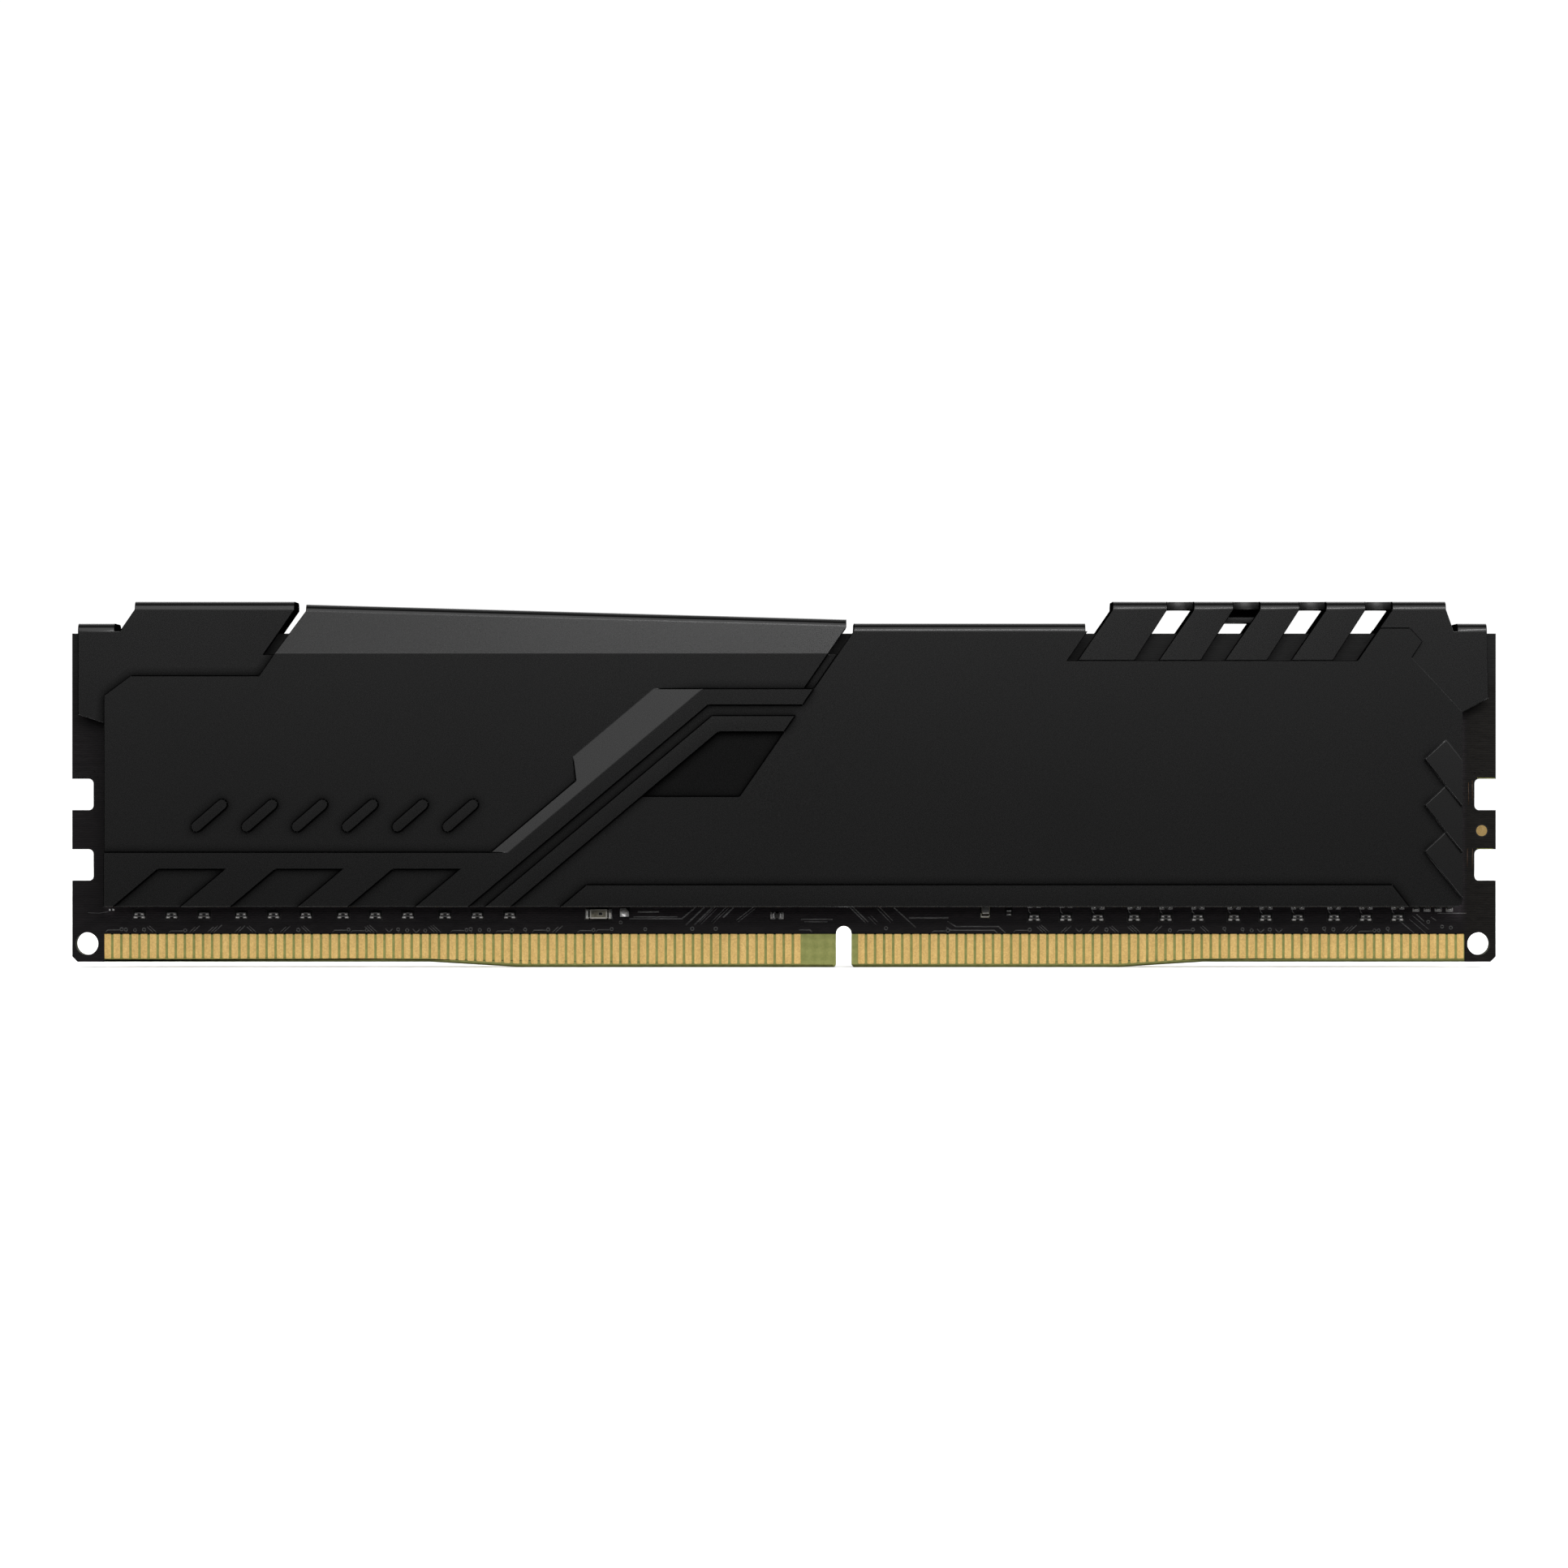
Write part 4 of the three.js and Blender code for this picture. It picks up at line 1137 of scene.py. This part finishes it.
def is_end_wall(face):
    """True for a cut end of the sheet that faces left or right."""
    return abs(face.normal.y) < 0.3 and abs(face.normal.x) > 0.5


def is_folding(face):
    """True for a facet of the rounded top, which turns from the outer side to the crest."""
    narrow = face.calc_area() < FACET_WIDTH * MM * max(edge.calc_length() for edge in face.edges)
    return narrow and abs(face.normal.x) < 0.1 and 0.1 < face.normal.z < 0.95


def lies_along(face, others):
    """True if the face shares a long edge with one of the others."""
    longest = max(edge.calc_length() for edge in face.edges)
    long_edges = [edge for edge in face.edges if edge.calc_length() > 0.5 * longest]
    return any(other in others for edge in long_edges for other in edge.link_faces)


def is_rounded(edge):
    """True for the joints that get a radius: all but the coplanar ones and the steps of a fold."""
    angle = edge.calc_face_angle(0)
    return angle > CREASE_ANGLE and not FOLD_STEP[0] < angle < FOLD_STEP[1]


def rejoin_flats(mesh):
    """Rejoins the triangles of each flat face and takes out the needle-like ones between them."""
    bmesh.ops.remove_doubles(mesh, verts=mesh.verts, dist=WELD * MM)
    slight, more = math.radians(0.5), math.radians(1)
    bmesh.ops.dissolve_limit(mesh, angle_limit=slight, verts=mesh.verts, edges=mesh.edges)
    for _ in range(2):
        bmesh.ops.collapse(mesh, edges=[e for e in mesh.edges if e.calc_length() < SHORT_EDGE * MM])
    bmesh.ops.dissolve_degenerate(mesh, edges=mesh.edges, dist=1e-6)
    bmesh.ops.dissolve_limit(mesh, angle_limit=more, verts=mesh.verts, edges=mesh.edges)


def coat_of(face):
    x, y, z = face.calc_center_median() / MM
    normal = face.normal
    # Walls and cut ends get the painted shade
    if is_step_wall(face) or is_end_wall(face):
        return CREVICE_SHADE
    if normal.y * y < -1e-3:
        # Faces that look at the board; the flat ones get the painted shade of the crevice coat
        return CREVICE_SHADE if is_flat(face) else ALUMINIUM
    if z > TAB_FOOT and is_folding(face):
        return FOLD
    # Painted light on the notch walls
    if z > NOTCH_FOOT and abs(normal.z) < 0.1 and abs(normal.y) > 0.3:
        return FOLD_NOTCH_PAINTED_LIGHT
    if not is_flat(face):
        return ALUMINIUM
    if abs(abs(y) - BADGE_OUT) < 0.01:
        return BADGE
    # Painted light on the upright fins, painted shade on the sloped fin
    if z > FIN_FOOT:
        return SLOPED_FIN_PAINTED_SHADE if abs(normal.z) > 0.05 else FIN_PAINTED_LIGHT
    # Painted shade on the tilted scales
    tilted = normal.z ** 2 + normal.x ** 2 > 1e-4
    return SCALE_PAINTED_SHADE if tilted and x > SCALE_EDGE and z < SCALE_TOP else ALUMINIUM


def refined_sheet(node, name):
    """Stamped sheet from the CAD half, with its flat faces rejoined and its edges rounded."""
    mesh = bmesh.new()
    mesh.from_mesh(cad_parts[node].data)
    rejoin_flats(mesh)
    level = [f for f in mesh.faces if is_flat(f) and f.calc_area() > LEVEL_AREA * MM * MM]
    for face in mesh.faces:
        face.material_index = SPREADER_COATS.index(coat_of(face))
    made = bmesh.ops.bevel(
        mesh, geom=[edge for edge in mesh.edges if is_rounded(edge)], offset=SHEET_EDGE * MM,
        offset_type="OFFSET", segments=2, profile=0.5, clamp_overlap=False, affect="EDGES",
    )
    strips = set(made["faces"])
    for face in strips:
        face.material_index = ALUMINIUM_SLOT
    walls = {face for face in mesh.faces if face.material_index == CREVICE_SHADE_SLOT}
    # The painted shade of the crevice coat spreads over the strips of the rounded edges, one strip
    # less by the scales
    for reach in (BOARD_LENGTH, SCALE_EDGE):
        near = [f for f in strips if f.calc_center_median().x < reach * MM]
        walls |= {f for f in near if lies_along(f, walls)}
    for face in walls:
        face.material_index = CREVICE_SHADE_SLOT
    for face in mesh.faces:
        face.smooth = face not in level
    data = bpy.data.meshes.new(name)
    mesh.to_mesh(data)
    mesh.free()
    for material in SPREADER_COATS:
        data.materials.append(material)
    piece = place(name, data, "black_aluminium", [node])
    weigh_normals(piece)
    return piece


for face in SIDES:
    refined_sheet(f"heat_spreader_{face}", f"stamped_spreader_{face}")


# ---- Stage, light and camera ----

CENTRE = Vector((0, 0, 17.16)) * MM
VIEW_DISTANCE = 500
VIEW_HALF_WIDTH = 73.44
SENSOR_WIDTH = 36

camera_data = bpy.data.cameras.new("camera")
camera_data.sensor_width = SENSOR_WIDTH
camera_data.lens = SENSOR_WIDTH / 2 * VIEW_DISTANCE / VIEW_HALF_WIDTH
camera_data.clip_start = 0.01
camera_data.clip_end = 50
camera = bpy.data.objects.new("camera", camera_data)
camera.location = CENTRE + Vector((0, -(VIEW_DISTANCE + BOARD_FACE) * MM, 0))
camera.rotation_euler = (math.pi / 2, 0, 0)
bpy.context.scene.collection.objects.link(camera)
bpy.context.scene.camera = camera


def studio_floor():
    """Pale tabletop under the module. It catches the light but throws none back up."""
    look = Look("floor", roughness=0.9, specular=0.1)
    look.colour(look.noise(40, detail=2), (0.3, grey(0.86)), (0.7, grey(0.90)))
    data = bpy.data.meshes.new("floor")
    reach = 6
    corners = [(-reach, -reach, 0), (reach, -reach, 0), (reach, reach, 0), (-reach, reach, 0)]
    data.from_pydata(corners, [], [(0, 1, 2, 3)])
    data.materials.append(look.material)
    floor = bpy.data.objects.new("floor", data)
    stage = bpy.data.collections.new("stage")
    bpy.context.scene.collection.children.link(stage)
    stage.objects.link(floor)
    floor.visible_diffuse = False
    floor.visible_glossy = False
    wash_data = bpy.data.lights.new("floor_wash", "SUN")
    wash_data.energy = 4.2
    wash_data.angle = math.radians(60)
    wash = bpy.data.objects.new("floor_wash", wash_data)
    bpy.context.scene.collection.objects.link(wash)
    wash.light_linking.receiver_collection = stage


# Rectangular panels aimed at the module: name, azimuth (0 in front, 90 to the right), elevation,
# then distance, width and height in metres, and radiance
SOFTBOXES = (
    ("key_front", 5, 34, 0.5, 0.80, 0.47, 2.1),
    ("key_strip", 24, 28, 0.5, 0.5, 0.036, 16),
    ("top", 0, 100, 0.8, 0.9, 0.3, 0.8),
    ("low_front", 0, -37, 0.6, 0.9, 0.26, 7.0),
    ("key_rear", 175, 34, 0.5, 0.80, 0.47, 2.1),
    ("low_rear", 180, -37, 0.6, 0.9, 0.26, 5.5),
    ("fill_rear", 135, -14, 0.7, 0.9, 0.5, 0.8),
    ("side_left", -80, 20, 0.8, 0.35, 0.6, 1.2),
    ("side_right", 80, 20, 0.8, 0.35, 0.6, 1.2),
)


def softbox(name, azimuth, elevation, distance, width, height, radiance):
    turn, rise = math.radians(azimuth), math.radians(elevation)
    level = math.cos(rise)
    away = Vector((math.sin(turn) * level, -math.cos(turn) * level, math.sin(rise)))
    data = bpy.data.lights.new(name, "AREA")
    data.shape = "RECTANGLE"
    data.size = width
    data.size_y = height
    data.energy = radiance * math.pi * width * height
    lamp = bpy.data.objects.new(name, data)
    lamp.location = CENTRE + away * distance
    lamp.rotation_euler = (-away).to_track_quat("-Z", "Y").to_euler()
    bpy.context.scene.collection.objects.link(lamp)


def studio_world():
    """White surround behind the module, with only a dim even glow to light it."""
    world = bpy.data.worlds.new("studio")
    world.use_nodes = True
    tree = world.node_tree
    background = tree.nodes["Background"]
    background.inputs["Color"].default_value = (0.1, 0.1, 0.1, 1)
    white = tree.nodes.new("ShaderNodeBackground")
    path = tree.nodes.new("ShaderNodeLightPath")
    mix = tree.nodes.new("ShaderNodeMixShader")
    white.inputs["Color"].default_value = (1, 1, 1, 1)
    white.inputs["Strength"].default_value = 1.05
    tree.links.new(path.outputs["Is Camera Ray"], mix.inputs["Fac"])
    tree.links.new(background.outputs["Background"], mix.inputs[1])
    tree.links.new(white.outputs["Background"], mix.inputs[2])
    tree.links.new(mix.outputs["Shader"], tree.nodes["World Output"].inputs["Surface"])
    bpy.context.scene.world = world


studio_floor()
studio_world()
for settings in SOFTBOXES:
    softbox(*settings)
bpy.context.scene.view_settings.view_transform = "Standard"
